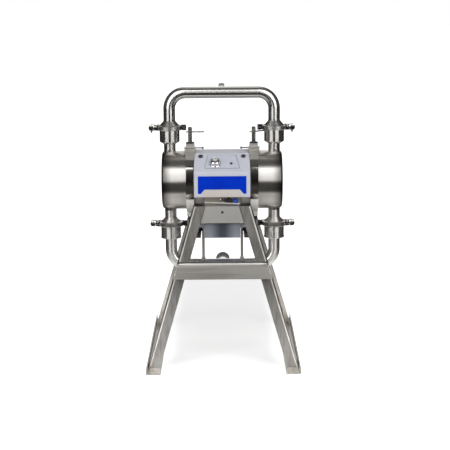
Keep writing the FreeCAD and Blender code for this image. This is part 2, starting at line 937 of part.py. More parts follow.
def build_wing_nuts(name, height, seat):
    """Wing nut on the front end of the swing bolt, resting on the front ear."""
    body = new_body("wing_nut_%s_right" % name)
    hub = size.nut_hub / 2
    flange = size.nut_flange / 2
    length = size.nut_length
    span = size.nut_wing_span / 2
    thick = size.nut_wing_thickness / 2
    bore = size.swing_bolt / 2 + size.turning_gap
    revolve(body, "y", [
        (0, bore),
        (0, flange),
        (-size.nut_flange_thickness, flange),
        (-size.nut_flange_thickness - size.nut_taper, hub),
        (-length, hub - size.nut_taper),
        (-length, bore),
    ])
    for turn in (1, -1):
        wing = [
            (-size.nut_wing_foot, turn * (bore + size.edge)),
            (-size.nut_wing_shoulder, turn * (span - size.chamfer)),
            (-size.nut_wing_crown - length / 3, turn * span),
            (-length - size.nut_wing_foot, turn * (span - 2 * size.edge)),
            (size.edge - length, turn * (bore + size.edge)),
        ]
        extrude(body, "x", -thick, thick, [wing])
    place(body, x=size.port_spread + size.swing_bolt_reach, y=seat, z=height)
    keep("wing_nut_%s_right" % name, body)
    keep("wing_nut_%s_left" % name, mirrored(body, "wing_nut_%s_left" % name))


# Ring clamps that hold the fluid covers on the housing
def ring_half(name, front):
    body = new_body(name)
    outer = size.ring_outer / 2
    half = size.ring_width / 2
    wall = size.ring_wall
    lip = half - size.ring_width / 6
    inner = size.cover_outer / 2 + size.seat_gap
    section = [
        (-half, inner),
        (-half, outer - 1),
        (1 - half, outer),
        (half - 1, outer),
        (half, outer - 1),
        (half, inner),
        (half - 1, inner),
        (lip, outer - wall),
        (-lip, outer - wall),
        (1 - half, inner),
    ]
    revolve(body, "x", section, angle=180, flip=not front)
    turn = -1 if front else 1
    flare = size.ring_flare_width / 2
    flare_outer = outer + size.ring_flare_thickness
    flare_end = flare_outer * sine(size.ring_flare_angle)
    under = outer + size.free_gap
    band = [
        (-flare, under),
        (-flare, flare_outer),
        (flare, flare_outer),
        (flare, under),
        (half - 2, under),
        (half - 2, outer - 1),
        (2 - half, outer - 1),
        (2 - half, under),
    ]
    revolve(body, "x", band, angle=size.ring_flare_angle, flip=not front)
    jaw = size.jaw_width / 2
    depth = size.jaw_half_depth
    profile = [
        (0, outer - size.jaw_sink),
        (turn * (depth + size.jaw_root), outer - 3 * size.jaw_sink),
        (turn * depth, size.jaw_shoulder),
        (turn * depth, size.jaw_top - size.chamfer),
        (turn * (depth - size.chamfer), size.jaw_top),
        (0, size.jaw_top),
    ]
    extrude(body, "x", -jaw, jaw, [profile])
    for side in (1, -1):
        waste = [
            (side * flare, 0),
            (side * (flare + 2), 0),
            (side * (flare + 2), turn * (flare_outer + 2)),
            (side * half, turn * (flare_outer + 2)),
            (side * half, turn * flare_end),
        ]
        extrude(body, "z", half, size.jaw_top, [waste], cut=True)
    slit = size.jaw_split / 2
    top_box = box(-slit, slit, Size(0), size.jaw_top + PAST)
    extrude(body, "x", -flare - PAST, flare + PAST, [top_box], cut=True)
    drop = size.ring_hinge_drop
    knuckle = size.ring_hinge_lug
    gap = size.clamp_split / 2
    lug = [
        (turn * gap, 2 - outer),
        (turn * (knuckle + 14), 5 - outer),
        (turn * knuckle, -drop, -turn * knuckle),
        (-turn * knuckle, -drop),
        (-turn * knuckle, -outer - gap),
        (turn * gap, -outer - gap),
    ]
    inner = size.ring_lug_inner / 2
    if front:
        extrude(body, "x", -inner, inner, [lug])
    else:
        extrude(body, "x", inner + size.free_gap, half, [lug])
        extrude(body, "x", -half, -inner - size.free_gap, [lug])
    head = size.tongue_head / 2
    tip = size.tongue_tip / 2
    tongue = [
        (-head, 3 - outer),
        (head, 3 - outer),
        (tip, 1 - drop - knuckle),
        (-tip, 1 - drop - knuckle),
    ]
    near_face = knuckle + size.free_gap
    far_face = near_face + size.tongue_thickness
    low, high = (-far_face, -near_face) if front else (near_face, far_face)
    extrude(body, "y", low, high, [tongue])
    bottom_box = [(-gap, 0), (gap, 0), (gap, -outer), (-gap, -outer)]
    extrude(body, "x", -half - PAST, half + PAST, [bottom_box], cut=True)
    pin = size.ring_hinge_pin + 2 * size.turning_gap
    extrude(body, "x", -half - PAST, half + PAST, circles=[(0, -drop, pin)], cut=True)
    lock = size.lock_pin + size.free_gap
    through = flare + PAST
    extrude(body, "x", -through, through, circles=[(0, size.lock_pin_height, lock)], cut=True)
    thread = size.handle_screw + 2 * size.free_gap
    top = size.jaw_top + PAST
    extrude(body, "z", size.lock_pin_height, top, circles=[(0, 0, thread)], cut=True)
    place(body, x=size.ring_centre, z=size.axis_height)
    return body


def build_ring_clamps():
    right = [ring_half("ring_half_front", True), ring_half("ring_half_rear", False)]
    left = [mirrored(half, half.Name + "_left") for half in right]
    group("ring_clamp_right", right)
    group("ring_clamp_left", left)
    jaw = size.jaw_width / 2
    depth = size.closure_half_depth
    height = size.closure_height
    cap = new_body("closure_block")
    top = size.jaw_top + size.seat_gap
    inside = size.jaw_half_depth + size.seat_gap
    foot = size.jaw_shoulder + size.free_gap
    outline = [
        (inside, foot),
        (depth, foot),
        (depth, top + height - size.chamfer),
        (depth - size.chamfer, top + height),
        (size.chamfer - depth, top + height),
        (-depth, top + height - size.chamfer),
        (-depth, foot),
        (-inside, foot),
        (-inside, top),
        (inside, top),
    ]
    extrude(cap, "x", size.free_gap - jaw, jaw - size.free_gap, [outline])
    bore = size.handle_screw + 2 * size.free_gap
    extrude(cap, "z", top - PAST, top + height + PAST, circles=[(0, 0, bore)], cut=True)
    place(cap, x=size.ring_centre, z=size.axis_height)
    group("closure_blocks", [cap, mirrored(cap, "closure_block_left")])
    washer_foot = top + height
    washer = new_body("stop_washer")
    radius = size.stop_washer / 2
    revolve(washer, "z", [
        (washer_foot, bore / 2),
        (washer_foot, radius),
        (washer_foot + size.stop_washer_thickness - 1, radius),
        (washer_foot + size.stop_washer_thickness, radius - 1),
        (washer_foot + size.stop_washer_thickness, bore / 2),
    ])
    place(washer, x=size.ring_centre, z=size.axis_height)
    group("stop_washers", [washer, mirrored(washer, "stop_washer_left")])
    build_handles(washer_foot + size.stop_washer_thickness + size.free_gap)
    pins = new_body("ring_hinge_pin")
    reach = size.ring_width / 2 + 1
    drop = size.axis_height - size.ring_hinge_drop
    extrude(pins, "x", -reach, reach, circles=[(0, 0, size.ring_hinge_pin)])
    place(pins, x=size.ring_centre, z=drop)
    group("ring_hinge_pins", [pins, mirrored(pins, "ring_hinge_pin_left")])
    lock = new_body("lock_pin")
    radius = size.lock_pin / 2
    tip = size.lock_pin_end
    far = size.ring_centre + size.jaw_width / 2 + size.lock_pin_overhang
    revolve(lock, "x", [
        (tip, 0),
        (tip, radius + size.lock_head_step - size.lock_head_edge),
        (tip + size.lock_head_edge, radius + size.lock_head_step),
        (tip + size.lock_head_length, radius + size.lock_head_step),
        (tip + size.lock_head_length + size.lock_head_step, radius),
        (far, radius),
        (far, 0),
    ])
    place(lock, z=size.axis_height + size.lock_pin_height)
    group("lock_pins", [lock, mirrored(lock, "lock_pin_left")])


def build_handles(foot):
    """T-handles: a screw with a thick stem, and a bar that slides through it."""
    bar_radius = size.tommy_bar / 2
    stem = size.handle_stem / 2
    screw = size.handle_screw / 2
    screw_foot = size.lock_pin_height + size.lock_pin / 2 + size.free_gap
    half_length = size.tommy_bar_length / 2
    for side, turn, offset in (
        ("left", Size(0), size.tommy_bar_offset_left),
        ("right", size.tommy_bar_turn_right, size.tommy_bar_offset_right),
    ):
        place_x = size.ring_centre if side == "right" else -size.ring_centre
        body = new_body("t_handle_" + side)
        revolve(body, "z", [
            (screw_foot, 0),
            (screw_foot, screw),
            (foot, screw),
            (foot, stem),
            (size.handle_top - size.chamfer, stem),
            (size.handle_top, stem - size.chamfer),
            (size.handle_top, 0),
        ])
        hole = size.tommy_bar + 2 * size.turning_gap
        extrude(body, "x", -stem - PAST, stem + PAST,
                circles=[(0, size.tommy_bar_rise, hole)], cut=True)
        place(body, x=place_x, z=size.axis_height)
        body.Placement.Rotation = Rotation(Vector(0, 0, 1), turn.value)
        bind(body, ".Placement.Rotation.Angle", turn)
        keep("t_handle_" + side, body)
        bar = new_body("tommy_bar_" + side)
        revolve(bar, "x", [
            (offset - half_length, 0),
            (offset - half_length, bar_radius - 1),
            (offset - half_length + 1, bar_radius),
            (offset + half_length - 1, bar_radius),
            (offset + half_length, bar_radius - 1),
            (offset + half_length, 0),
        ])
        place(bar, x=place_x, z=size.axis_height + size.tommy_bar_rise)
        bar.Placement.Rotation = Rotation(Vector(0, 0, 1), turn.value)
        bind(bar, ".Placement.Rotation.Angle", turn)
        keep("tommy_bar_" + side, bar)


# Housing
def sloped_rotation():
    """Turn that lays a plan drawing onto the sloping control face."""
    rise = SIZES["panel_head"] - SIZES["panel_foot"]
    run = SIZES["housing_half_depth"] - SIZES["roof_half_depth"]
    return Rotation(Vector(1, 0, 0), math.degrees(math.atan2(rise, run)))


def on_slope(body, x, up):
    """Place a piece on the control face, up along the slope from its middle."""
    rise = size.panel_head - size.panel_foot
    run = size.housing_half_depth - size.roof_half_depth
    length = root(rise * rise + run * run)
    middle_y = -(size.housing_half_depth + size.roof_half_depth) / 2
    middle_z = size.axis_height + (size.panel_head + size.panel_foot) / 2
    place(
        body,
        x=as_size(x),
        y=middle_y + up * run / length,
        z=middle_z + up * rise / length,
        rotation=sloped_rotation(),
    )
    return body


def cut_slope(body, depth, circles, outlines=()):
    """Sink round holes and outlines square to the control face of the housing."""
    sketch = new_sketch(body, "XY_Plane")
    middle_y = -(size.housing_half_depth + size.roof_half_depth) / 2
    middle_z = (size.panel_head + size.panel_foot) / 2
    sketch.AttachmentOffset = Placement(
        Vector(0, middle_y.value, middle_z.value), sloped_rotation()
    )
    bind(sketch, ".AttachmentOffset.Base.y", middle_y)
    bind(sketch, ".AttachmentOffset.Base.z", middle_z)
    for circle in circles:
        draw_circle(sketch, *circle)
    for outline in outlines:
        draw_path(sketch, outline)
    pocket = body.newObject("PartDesign::Pocket", body.Name + "Recess")
    pocket.Profile = sketch
    bind(pocket, "Length", depth)
    body.Tip = pocket


def round_edges(body, feature, radius, wanted):
    """Round the edges of the last feature that a test on each edge picks."""
    doc.recompute()
    names = [
        "Edge%d" % (index + 1)
        for index, edge in enumerate(feature.Shape.Edges)
        if wanted(edge)
    ]
    fillet = body.newObject("PartDesign::Fillet", body.Name + "Fillet")
    fillet.Base = (feature, names)
    bind(fillet, "Radius", radius)
    body.Tip = fillet
    return fillet


def build_housing():
    body = new_body("centre_housing")
    half = size.housing_half_width
    front = size.housing_half_depth
    roof = size.roof_half_depth
    drum = size.drum_outer / 2
    outline = [
        (-front, size.housing_bottom),
        (front, size.housing_bottom),
        (front, size.panel_foot),
        (roof, size.panel_head),
        (-roof, size.panel_head),
        (-front, size.panel_foot),
    ]
    shell = extrude(body, "x", -half, half, [outline])
    length_edges = round_edges(
        body, shell, size.housing_round,
        lambda edge: abs(edge.tangentAt(edge.FirstParameter).x) > 0.9
        and edge.BoundBox.ZMin > SIZES["housing_bottom"] + 1,
    )
    round_edges(
        body, length_edges, size.housing_round / 3,
        lambda edge: edge.BoundBox.XLength < 0.1
        and edge.BoundBox.ZMax > SIZES["housing_bottom"] + 1,
    )
    lower = size.lower_half_width
    block = box(-lower, lower, -size.lower_half_depth, size.lower_half_depth)
    extrude(body, "z", size.lower_bottom, 0, [block])
    joint = size.joint_plane - size.diaphragm_thickness / 2
    flange = size.cover_flange_outer / 2
    rim = joint - size.cover_flange_width
    disc = [
        (-joint, 0),
        (-joint, flange),
        (-rim, flange),
        (-rim + size.cover_flange_taper, drum),
        (rim - size.cover_flange_taper, drum),
        (rim, flange),
        (joint, flange),
        (joint, 0),
    ]
    revolve(body, "x", disc)
    foot_low = foot_height - size.axis_height
    spread = size.foot_spacing / 2
    reach = size.foot_reach
    for place_y in (-spread, spread):
        low = place_y - size.foot_length / 2
        high = place_y + size.foot_length / 2
        lug = box(-reach, reach, low, high)
        extrude(body, "z", foot_low, foot_low + size.foot_thickness, [lug])
    circles = [
        (side * size.mount_centre, place_y, size.mount_bolt + 1)
        for side in (1, -1)
        for place_y in (-spread, spread)
    ]
    foot_top = foot_low + size.foot_thickness
    extrude(body, "z", foot_low - PAST, foot_top + PAST, circles=circles, cut=True)
    bore = size.drive_bore / 2
    shoulder = size.shoulder_bore / 2
    inside = size.stator_bore_half
    cavity = [
        (-joint, 0),
        (-joint, bore),
        (-inside, bore),
        (-inside, shoulder),
        (inside, shoulder),
        (inside, bore),
        (joint, bore),
        (joint, 0),
    ]
    revolve(body, "x", cavity, cut=True)
    wall = size.lower_wall
    hollow = box(wall - lower, lower - wall, wall - size.lower_half_depth,
                 size.lower_half_depth - wall)
    extrude(body, "z", size.lower_bottom + wall, -shoulder + wall, [hollow], cut=True)
    low = size.panel_centre_rise - size.panel_height / 2 - size.panel_groove
    high = size.panel_centre_rise + size.panel_height / 2 + size.panel_groove
    seat = [
        (-size.panel_bottom_half - size.panel_groove, low),
        (size.panel_bottom_half + size.panel_groove, low),
        (size.panel_top_half + size.panel_groove, high),
        (-size.panel_top_half - size.panel_groove, high),
    ]
    cut_slope(body, size.panel_seat, [], [seat])
    recesses = [
        (side * size.screw_offset, size.screw_rise, size.screw_recess) for side in (1, -1)
    ]
    cut_slope(body, size.screw_recess_depth, recesses)
    bore = size.knob_spindle + size.spindle_spare
    spindle = [(-size.knob_offset, size.knob_rise, bore)]
    cut_slope(body, size.knob_spindle_depth + size.spindle_spare, spindle)
    place(body, z=size.axis_height)
    return keep("centre_housing", body)


def build_control_face():
    panel = new_body("control_panel")
    up = size.panel_height / 2
    outline = [
        (-size.panel_bottom_half, -up),
        (size.panel_bottom_half, -up),
        (size.panel_top_half, up),
        (-size.panel_top_half, up),
    ]
    plate = extrude(panel, "z", -size.panel_seat, size.panel_thickness, [outline])
    round_edges(
        panel, plate, size.panel_corner, lambda edge: abs(edge.tangentAt(edge.FirstParameter).z) > 0.9
    )
    shift = size.panel_centre_rise
    spindle = size.knob_spindle + size.spindle_spare
    holes = [
        (-size.knob_offset, size.knob_rise - shift, spindle),
        (size.indicator_offset, size.knob_rise - shift, size.indicator_outer + 2 * size.seat_gap),
    ]
    low = -size.panel_seat - PAST
    extrude(panel, "z", low, size.panel_thickness + PAST, circles=holes, cut=True)
    on_slope(panel, 0, shift)
    keep("control_panel", panel)
    knob = new_body("control_knob")
    skirt = size.knob_outer / 2
    cap = size.knob_cap / 2
    foot = size.panel_thickness + size.free_gap
    top = size.panel_thickness + size.knob_height
    revolve(knob, "z", [
        (-size.knob_spindle_depth, 0),
        (-size.knob_spindle_depth, size.knob_spindle / 2),
        (foot, size.knob_spindle / 2),
        (foot, skirt),
        (foot + size.knob_skirt, skirt - size.knob_draft),
        (foot + size.knob_skirt + size.edge, cap),
        (top - size.knob_edge, cap - size.knob_draft),
        (top, cap - size.knob_draft - size.knob_edge),
        (top, 0),
    ])
    line_half = size.knob_mark / 2
    mark = box(-line_half, line_half, cap / 3, cap + PAST)
    extrude(knob, "z", top - size.knob_mark_depth, top + PAST, [mark], cut=True)
    on_slope(knob, -size.knob_offset, size.knob_rise)
    keep("control_knob", knob)
    lens = new_body("indicator_lens")
    radius = size.indicator_outer / 2
    proud = size.panel_thickness + size.indicator_proud
    revolve(lens, "z", [
        (-size.panel_seat, 0),
        (-size.panel_seat, radius),
        (proud - size.edge, radius),
        (proud, radius - size.lens_edge),
        (proud, 0),
    ])
    on_slope(lens, size.indicator_offset, size.knob_rise)
    keep("indicator_lens", lens)
    screw = new_body("panel_screw")
    head = size.screw_head / 2
    floor = -size.screw_recess_depth
    revolve(screw, "z", [
        (floor, 0),
        (floor, head),
        (floor + size.screw_head_height - size.edge, head),
        (floor + size.screw_head_height, head - size.edge),
        (floor + size.screw_head_height, 0),
    ])
    socket = [
        (head / 2 * cosine(Size(60 * corner)), head / 2 * sine(Size(60 * corner)))
        for corner in range(6)
    ]
    socket_floor = floor + size.screw_socket_floor
    extrude(screw, "z", socket_floor, floor + size.screw_head_height + PAST, [socket], cut=True)
    on_slope(screw, size.screw_offset, size.screw_rise)
    group("panel_screws", [screw, mirrored(screw, "panel_screw_left")])


def build_label():
    body = new_body("label_plate")
    half = size.label_half_width
    arch = size.label_arch_half
    slope = size.label_arch_slope
    outline = [
        (-half, size.label_bottom),
        (-arch - slope, size.label_bottom),
        (-arch, size.label_arch_top),
        (arch, size.label_arch_top),
        (arch + slope, size.label_bottom),
        (half, size.label_bottom),
        (half, size.label_top),
        (-half, size.label_top),
    ]
    face = -size.housing_half_depth
    extrude(body, "y", face - size.label_thickness, face, [outline])
    place(body, z=size.axis_height)
    return keep("label_plate", body)


# Connectors in the recess, and the wire guard in front of them
def build_connector(name, x, outer, collar, waist, nose):
    body = new_body(name)
    radius = outer / 2
    length = size.connector_length
    revolve(body, "y", [
        (0, 0),
        (0, radius + collar),
        (-size.connector_collar, radius + collar),
        (-size.connector_collar - size.edge, radius - waist),
        (-length / 2, radius - waist),
        (-length / 2 - size.edge, radius),
        (-length + nose, radius),
        (-length, radius - nose),
        (-length, 0),
    ])
    place(body, x=x, y=-size.lower_half_depth, z=size.axis_height + size.connector_drop)
    return keep(name, body)


def build_connectors():
    build_connector("signal_connector", size.signal_offset, size.signal_outer,
                    size.collar_step, size.signal_waist, size.signal_nose)
    build_connector("power_connector", size.power_offset, size.power_outer,
                    0, size.power_waist, size.power_nose)
    build_connector("capped_connector", size.capped_offset, size.capped_outer,
                    size.collar_step, size.capped_waist, size.capped_nose)
    guard = new_body("connector_guard")
    foot = Size(0)
    looped_tube(guard, size.guard_reach, foot, size.guard_wire, size.guard_half_span,
                size.guard_bend)
    tilt = Rotation(Vector(0, 1, 0), size.guard_tilt.value)
    forward = tilt * Rotation(Vector(1, 0, 0), 90)
    place(guard, y=-size.lower_half_depth, z=size.axis_height + size.guard_drop, rotation=forward)
    keep("connector_guard", guard)


# Drive: hollow-shaft motor whose rotor carries the nut of a sliding screw
def build_drive():
    axis = size.axis_height
    inside = size.stator_bore_half
    bearing_radius = size.bearing_outer / 2
    hub = size.rotor_hub / 2
    plate = new_body("bearing_plate_right")
    depth = size.bearing_width + size.free_gap
    rim = size.drive_bore / 2 - size.seat_gap
    revolve(plate, "x", [
        (inside, bearing_radius),
        (inside, rim),
        (inside + size.bearing_plate_thickness, rim),
        (inside + size.bearing_plate_thickness, size.bearing_lip / 2),
        (inside + depth, size.bearing_lip / 2),
        (inside + depth, bearing_radius),
    ])
    place(plate, z=axis)
    group("bearing_plates", [plate, mirrored(plate, "bearing_plate_left")])
    bearing = new_body("rotor_bearing")
    revolve(bearing, "x", [
        (inside, hub + size.turning_gap),
        (inside, bearing_radius - size.turning_gap),
        (inside + size.bearing_width, bearing_radius - size.turning_gap),
        (inside + size.bearing_width, hub + size.turning_gap),
    ])
    place(bearing, z=axis)
    group("rotor_bearings", [bearing, mirrored(bearing, "rotor_bearing_left")])
    stator = new_body("stator")
    stator_half = size.stator_half_length
    air_gap = size.rotor_outer / 2 + size.rotor_gap
    revolve(stator, "x", [
        (-stator_half, air_gap),
        (-stator_half, size.stator_outer / 2),
        (stator_half, size.stator_outer / 2),
        (stator_half, air_gap),
    ])
    place(stator, z=axis)
    keep("stator", stator)
    rotor = new_body("rotor")
    end = inside + size.bearing_width + size.shaft_overhang
    core = size.rotor_half_length
    nut = size.drive_nut_half_length
    thread = size.drive_screw / 2 + size.turning_gap
    relief = size.drive_screw / 2 + size.screw_relief
    revolve(rotor, "x", [
        (-end, relief),
        (-end, hub),
        (-core, hub),
        (-core, size.rotor_outer / 2),
        (core, size.rotor_outer / 2),
        (core, hub),
        (end, hub),
        (end, relief),
        (nut, relief),
        (nut, thread),
        (-nut, thread),
        (-nut, relief),
    ])
    place(rotor, z=axis)
    keep("rotor", rotor)
    screw = new_body("drive_screw")
    reach = size.joint_plane + size.diaphragm_thickness / 2
    radius = size.drive_screw / 2
    revolve(screw, "x", [(-reach, 0), (-reach, radius), (reach, radius), (reach, 0)])
    place(screw, z=axis)
    keep("drive_screw", screw)
    build_diaphragms()


def build_diaphragms():
    half = size.diaphragm_thickness / 2
    inner = size.joint_plane - half
    outer = size.joint_plane + half
    shaft = size.drive_screw / 2 + size.turning_gap
    hole = size.drive_screw / 2 + size.free_gap
    plate = size.plate_outer / 2
    gap = size.free_gap
    body = new_body("diaphragm_right")
    roll = size.diaphragm_roll
    revolve(body, "x", [
        (inner + gap, hole),
        (inner + gap, size.diaphragm_roll_inner, -roll),
        (inner + gap, size.diaphragm_roll_outer),
        (inner + gap, size.diaphragm_outer / 2),
        (outer - gap, size.diaphragm_outer / 2),
        (outer - gap, size.diaphragm_roll_outer, roll),
        (outer - gap, size.diaphragm_roll_inner),
        (outer - gap, hole),
    ])
    place(body, z=size.axis_height)
    keep("diaphragm_right", body)
    keep("diaphragm_left", mirrored(body, "diaphragm_left"))
    back = new_body("inner_plate")
    revolve(back, "x", [
        (inner, shaft),
        (inner, plate),
        (inner - size.inner_plate_thickness / 2, plate),
        (inner - size.inner_plate_thickness, plate - 4),
        (inner - size.inner_plate_thickness, shaft),
    ])
    front = new_body("outer_plate")
    revolve(front, "x", [
        (outer, 0),
        (outer, plate),
        (outer + 2, plate),
        (outer + size.outer_plate_thickness, plate / 2),
        (outer + size.outer_plate_thickness, 0),
    ])
    pair = [place(back, z=size.axis_height), place(front, z=size.axis_height)]
    group("diaphragm_plates_right", pair)
    group("diaphragm_plates_left", [mirrored(item, item.Name + "_left") for item in pair])


# Ball check valves
def build_valves():
    ball = size.ball_outer / 2
    bore = size.seat_bore / 2
    wall = chamber_bore_radius - size.seat_gap
    sunk = root(ball * ball - bore * bore)
    feet = {
        "outlet": outlet_joint - half_gasket - size.outlet_chamber_depth,
        "inlet": inlet_joint - half_gasket - size.inlet_chamber_depth,
    }
    seat_top = size.seat_height
    stop = seat_top + 2 * sunk + 2 * size.free_gap + size.ball_lift
    cages = []
    for name, foot in feet.items():
        cage = new_body("valve_cage_" + name)
        revolve(cage, "z", [(0, bore), (0, wall), (seat_top, wall), (seat_top, bore)])
        reach = ball + size.free_gap
        half_rib = size.cage_rib / 2
        rib = box(reach, wall - 0.5, -half_rib, half_rib)
        rib_pad = extrude(cage, "z", seat_top, stop, [rib])
        pattern = cage.newObject("PartDesign::PolarPattern", "CageRibs")
        pattern.Originals = [rib_pad]
        for line in cage.Origin.OriginFeatures:
            if line.Role == "Z_Axis":
                pattern.Axis = (line, [""])
        pattern.Angle = 360
        pattern.Occurrences = 3
        cage.Tip = pattern
        top = stop + size.cage_ring
        revolve(cage, "z", [(stop, bore), (stop, wall), (top, wall), (top, bore)])
        place(cage, x=size.port_spread, z=foot)
        cages += [cage, mirrored(cage, cage.Name + "_left")]
        centre = foot + seat_top + sunk + size.free_gap
        for side, sign in (("left", -1), ("right", 1)):
            item = doc.addObject("Part::Sphere", "ball_%s_%s" % (name, side))
            bind(item, "Radius", ball)
            place(item, x=sign * size.port_spread, z=centre)
            keep(item.Name, item)
    group("valve_cages", cages)


# Stand
BEND_STEPS = (0, 30, 60, 90)


def angle_section(x, y, side_x, side_y):
    """Bent angle section whose outer faces meet at (x, y); its legs run inwards."""
    length = size.leg_side
    sheet = size.sheet
    bend = size.leg_bend
    centre_x = x - side_x * bend
    centre_y = y - side_y * bend
    outline = []
    for step in BEND_STEPS:
        across = side_x * bend * cosine(Size(step))
        back = side_y * bend * sine(Size(step))
        outline.append((centre_x + across, centre_y + back))
    outline += [(x - side_x * length, y), (x - side_x * length, y - side_y * sheet)]
    for step in reversed(BEND_STEPS):
        across = side_x * (bend - sheet) * cosine(Size(step))
        back = side_y * (bend - sheet) * sine(Size(step))
        outline.append((centre_x + across, centre_y + back))
    outline += [(x - side_x * sheet, y - side_y * length), (x, y - side_y * length)]
    return outline


def build_legs():
    for end, sign_y in (("front", -1), ("rear", 1)):
        for side, sign_x in (("left", -1), ("right", 1)):
            body = new_body("leg_%s_%s" % (end, side))
            sections = []
            for height in (size.rail_thickness, stand_top):
                corner_x = sign_x * leg_outer(height)
                corner_y = sign_y * leg_face(height)
                sections.append((height, angle_section(corner_x, corner_y, sign_x, sign_y)))
            loft(body, sections)
            keep("leg_%s_%s" % (end, side), body)


def build_base_rails():
    body = new_body("base_rail_right")
    outer = size.rail_outer
    inner = outer - size.rail_width
    thick = size.rail_thickness
    half = size.rail_half_length
    profile = [
        (inner, 0),
        (outer, 0),
        (outer, size.rail_lip),
        (outer - thick, size.rail_lip),
        (outer - thick, thick),
        (inner, thick),
    ]
    extrude(body, "y", -half, half, [profile])
    middle = outer - size.rail_width / 2
    anchor = half - size.anchor_inset
    holes = [(middle, -anchor, size.anchor_hole), (middle, anchor, size.anchor_hole)]
    extrude(body, "z", -PAST, thick + PAST, circles=holes, cut=True)
    keep("base_rail_right", body)
    keep("base_rail_left", mirrored(body, "base_rail_left"))


def build_crossbar():
    body = new_body("front_crossbar")
    low = size.crossbar_bottom
    high = low + size.crossbar_height
    sections = []
    for height in (low, high):
        half = leg_outer(height)
        front = -leg_face(height) - size.crossbar_depth
        sections.append((height, box(-half, half, front, front + size.sheet)))
    loft(body, sections)
    for height, start in ((low, low), (high, high - size.sheet)):
        half = leg_outer(height)
        face = -leg_face(start)
        flange = box(-half, half, face - size.crossbar_depth + LAP, face)
        extrude(body, "z", start, start + size.sheet, [flange])
    keep("front_crossbar", body)


def build_top_plates():
    body = new_body("front_top_plate")
    low = size.axis_height + size.top_plate_bottom
    high = stand_top
    sections = []
    for height in (low, high):
        half = leg_outer(height) - size.leg_side
        face = -leg_face(height)
        ease = size.top_plate_ease
        sections.append((height, [
            (-half, face + ease),
            (ease - half, face),
            (half - ease, face),
            (half, face + ease),
            (half, face + size.sheet),
            (-half, face + size.sheet),
        ]))
    loft(body, sections)
    half = leg_outer(high) - size.leg_side
    face = -leg_face(high)
    shelf = box(-half, half, face + size.sheet - LAP, face + size.top_plate_shelf)
    extrude(body, "z", high - size.sheet, high, [shelf])
    hole = (0, high - size.top_plate_hole_drop, size.top_plate_hole)
    extrude(body, "y", -leg_face(low), -leg_face(high) + size.sheet + PAST, circles=[hole], cut=True)
    group("top_plates", [body, mirrored(body, "rear_top_plate", Vector(0, 1, 0))])


def build_mounting():
    rail = new_body("mount_rail_right")
    top = rail_top
    thick = size.sheet
    outer = leg_outer(top) - size.sheet
    reach = leg_face(top) - size.sheet
    corner = size.leg_bend - size.sheet
    plan = [
        (size.mount_rail_inner, -reach),
        (outer - corner, -reach),
        (outer, corner - reach),
        (outer, reach - corner),
        (outer - corner, reach),
        (size.mount_rail_inner, reach),
    ]
    extrude(rail, "z", top - thick, top, [plan])
    lip_half = reach - size.leg_side
    lip = box(outer - thick, outer, -lip_half, lip_half)
    extrude(rail, "z", top - size.mount_rail_lip, top - thick / 2, [lip])
    hole = size.mount_bolt + 1
    circles = [(size.mount_centre, place_y, hole) for place_y in foot_places]
    extrude(rail, "z", top - thick - PAST, top + PAST, circles=circles, cut=True)
    keep("mount_rail_right", rail)
    keep("mount_rail_left", mirrored(rail, "mount_rail_left"))
    rubbers = []
    bolts = []
    for index, place_y in enumerate(foot_places):
        rubber = new_body("rubber_mount_%d" % index)
        radius = size.rubber_outer / 2
        height = size.rubber_height
        waist = radius - size.rubber_waist
        bore = (size.mount_bolt + 1) / 2
        revolve(rubber, "z", [
            (0, bore),
            (0, radius),
            (size.rubber_lip, radius),
            (height / 2, waist),
            (height - size.rubber_lip, radius),
            (height, radius),
            (height, bore),
        ])
        place(rubber, x=size.mount_centre, y=place_y, z=top)
        rubbers += [rubber, mirrored(rubber, rubber.Name + "_left")]
        bolt = new_body("mount_bolt_%d" % index)
        head = size.mount_bolt_head / 2
        tall = size.mount_bolt_head_height
        seat = height + size.foot_thickness
        hexagon = [
            (head * cosine(Size(60 * corner)), head * sine(Size(60 * corner)))
            for corner in range(6)
        ]
        extrude(bolt, "z", seat, seat + tall, [hexagon])
        end = thick + tall + size.bolt_end
        extrude(bolt, "z", -end, seat, circles=[(0, 0, size.mount_bolt)])
        extrude(bolt, "z", -thick - tall, -thick, [hexagon])
        place(bolt, x=size.mount_centre, y=place_y, z=top)
        bolts += [bolt, mirrored(bolt, bolt.Name + "_left")]
    group("rubber_mounts", rubbers)
    group("mount_bolts", bolts)


def build_hangers():
    body = new_body("manifold_hanger")
    inner = size.mount_rail_inner - size.hanger_width
    depth = size.hanger_depth / 2
    pad_half = size.hanger_foot_width / 2
    saddle = tube_radius + size.free_gap
    side = size.hanger_foot_width / 2
    rise = root(saddle * saddle - side * side)
    top = saddle + size.hanger_foot_height
    outline = [
        (-side, rise, -saddle),
        (side, rise),
        (side, top),
        (-side, top),
    ]
    middle = inner + size.hanger_width / 2
    extrude(body, "x", middle - pad_half, middle + pad_half, [outline])
    strap = box(inner, size.mount_rail_inner, -depth, depth)
    strap_top = size.axis_height + size.hanger_top - inlet_height
    extrude(body, "z", top - LAP, strap_top, [strap])
    place(body, z=inlet_height)
    group("manifold_hangers", [body, mirrored(body, "manifold_hanger_left")])


build_outlet_manifold()
build_inlet_manifold()
build_fluid_covers()
build_gaskets()
build_clamps()
build_ring_clamps()
build_housing()
build_control_face()
build_label()
build_connectors()
build_drive()
build_valves()
build_legs()
build_base_rails()
build_crossbar()
build_top_plates()
build_mounting()
build_hangers()


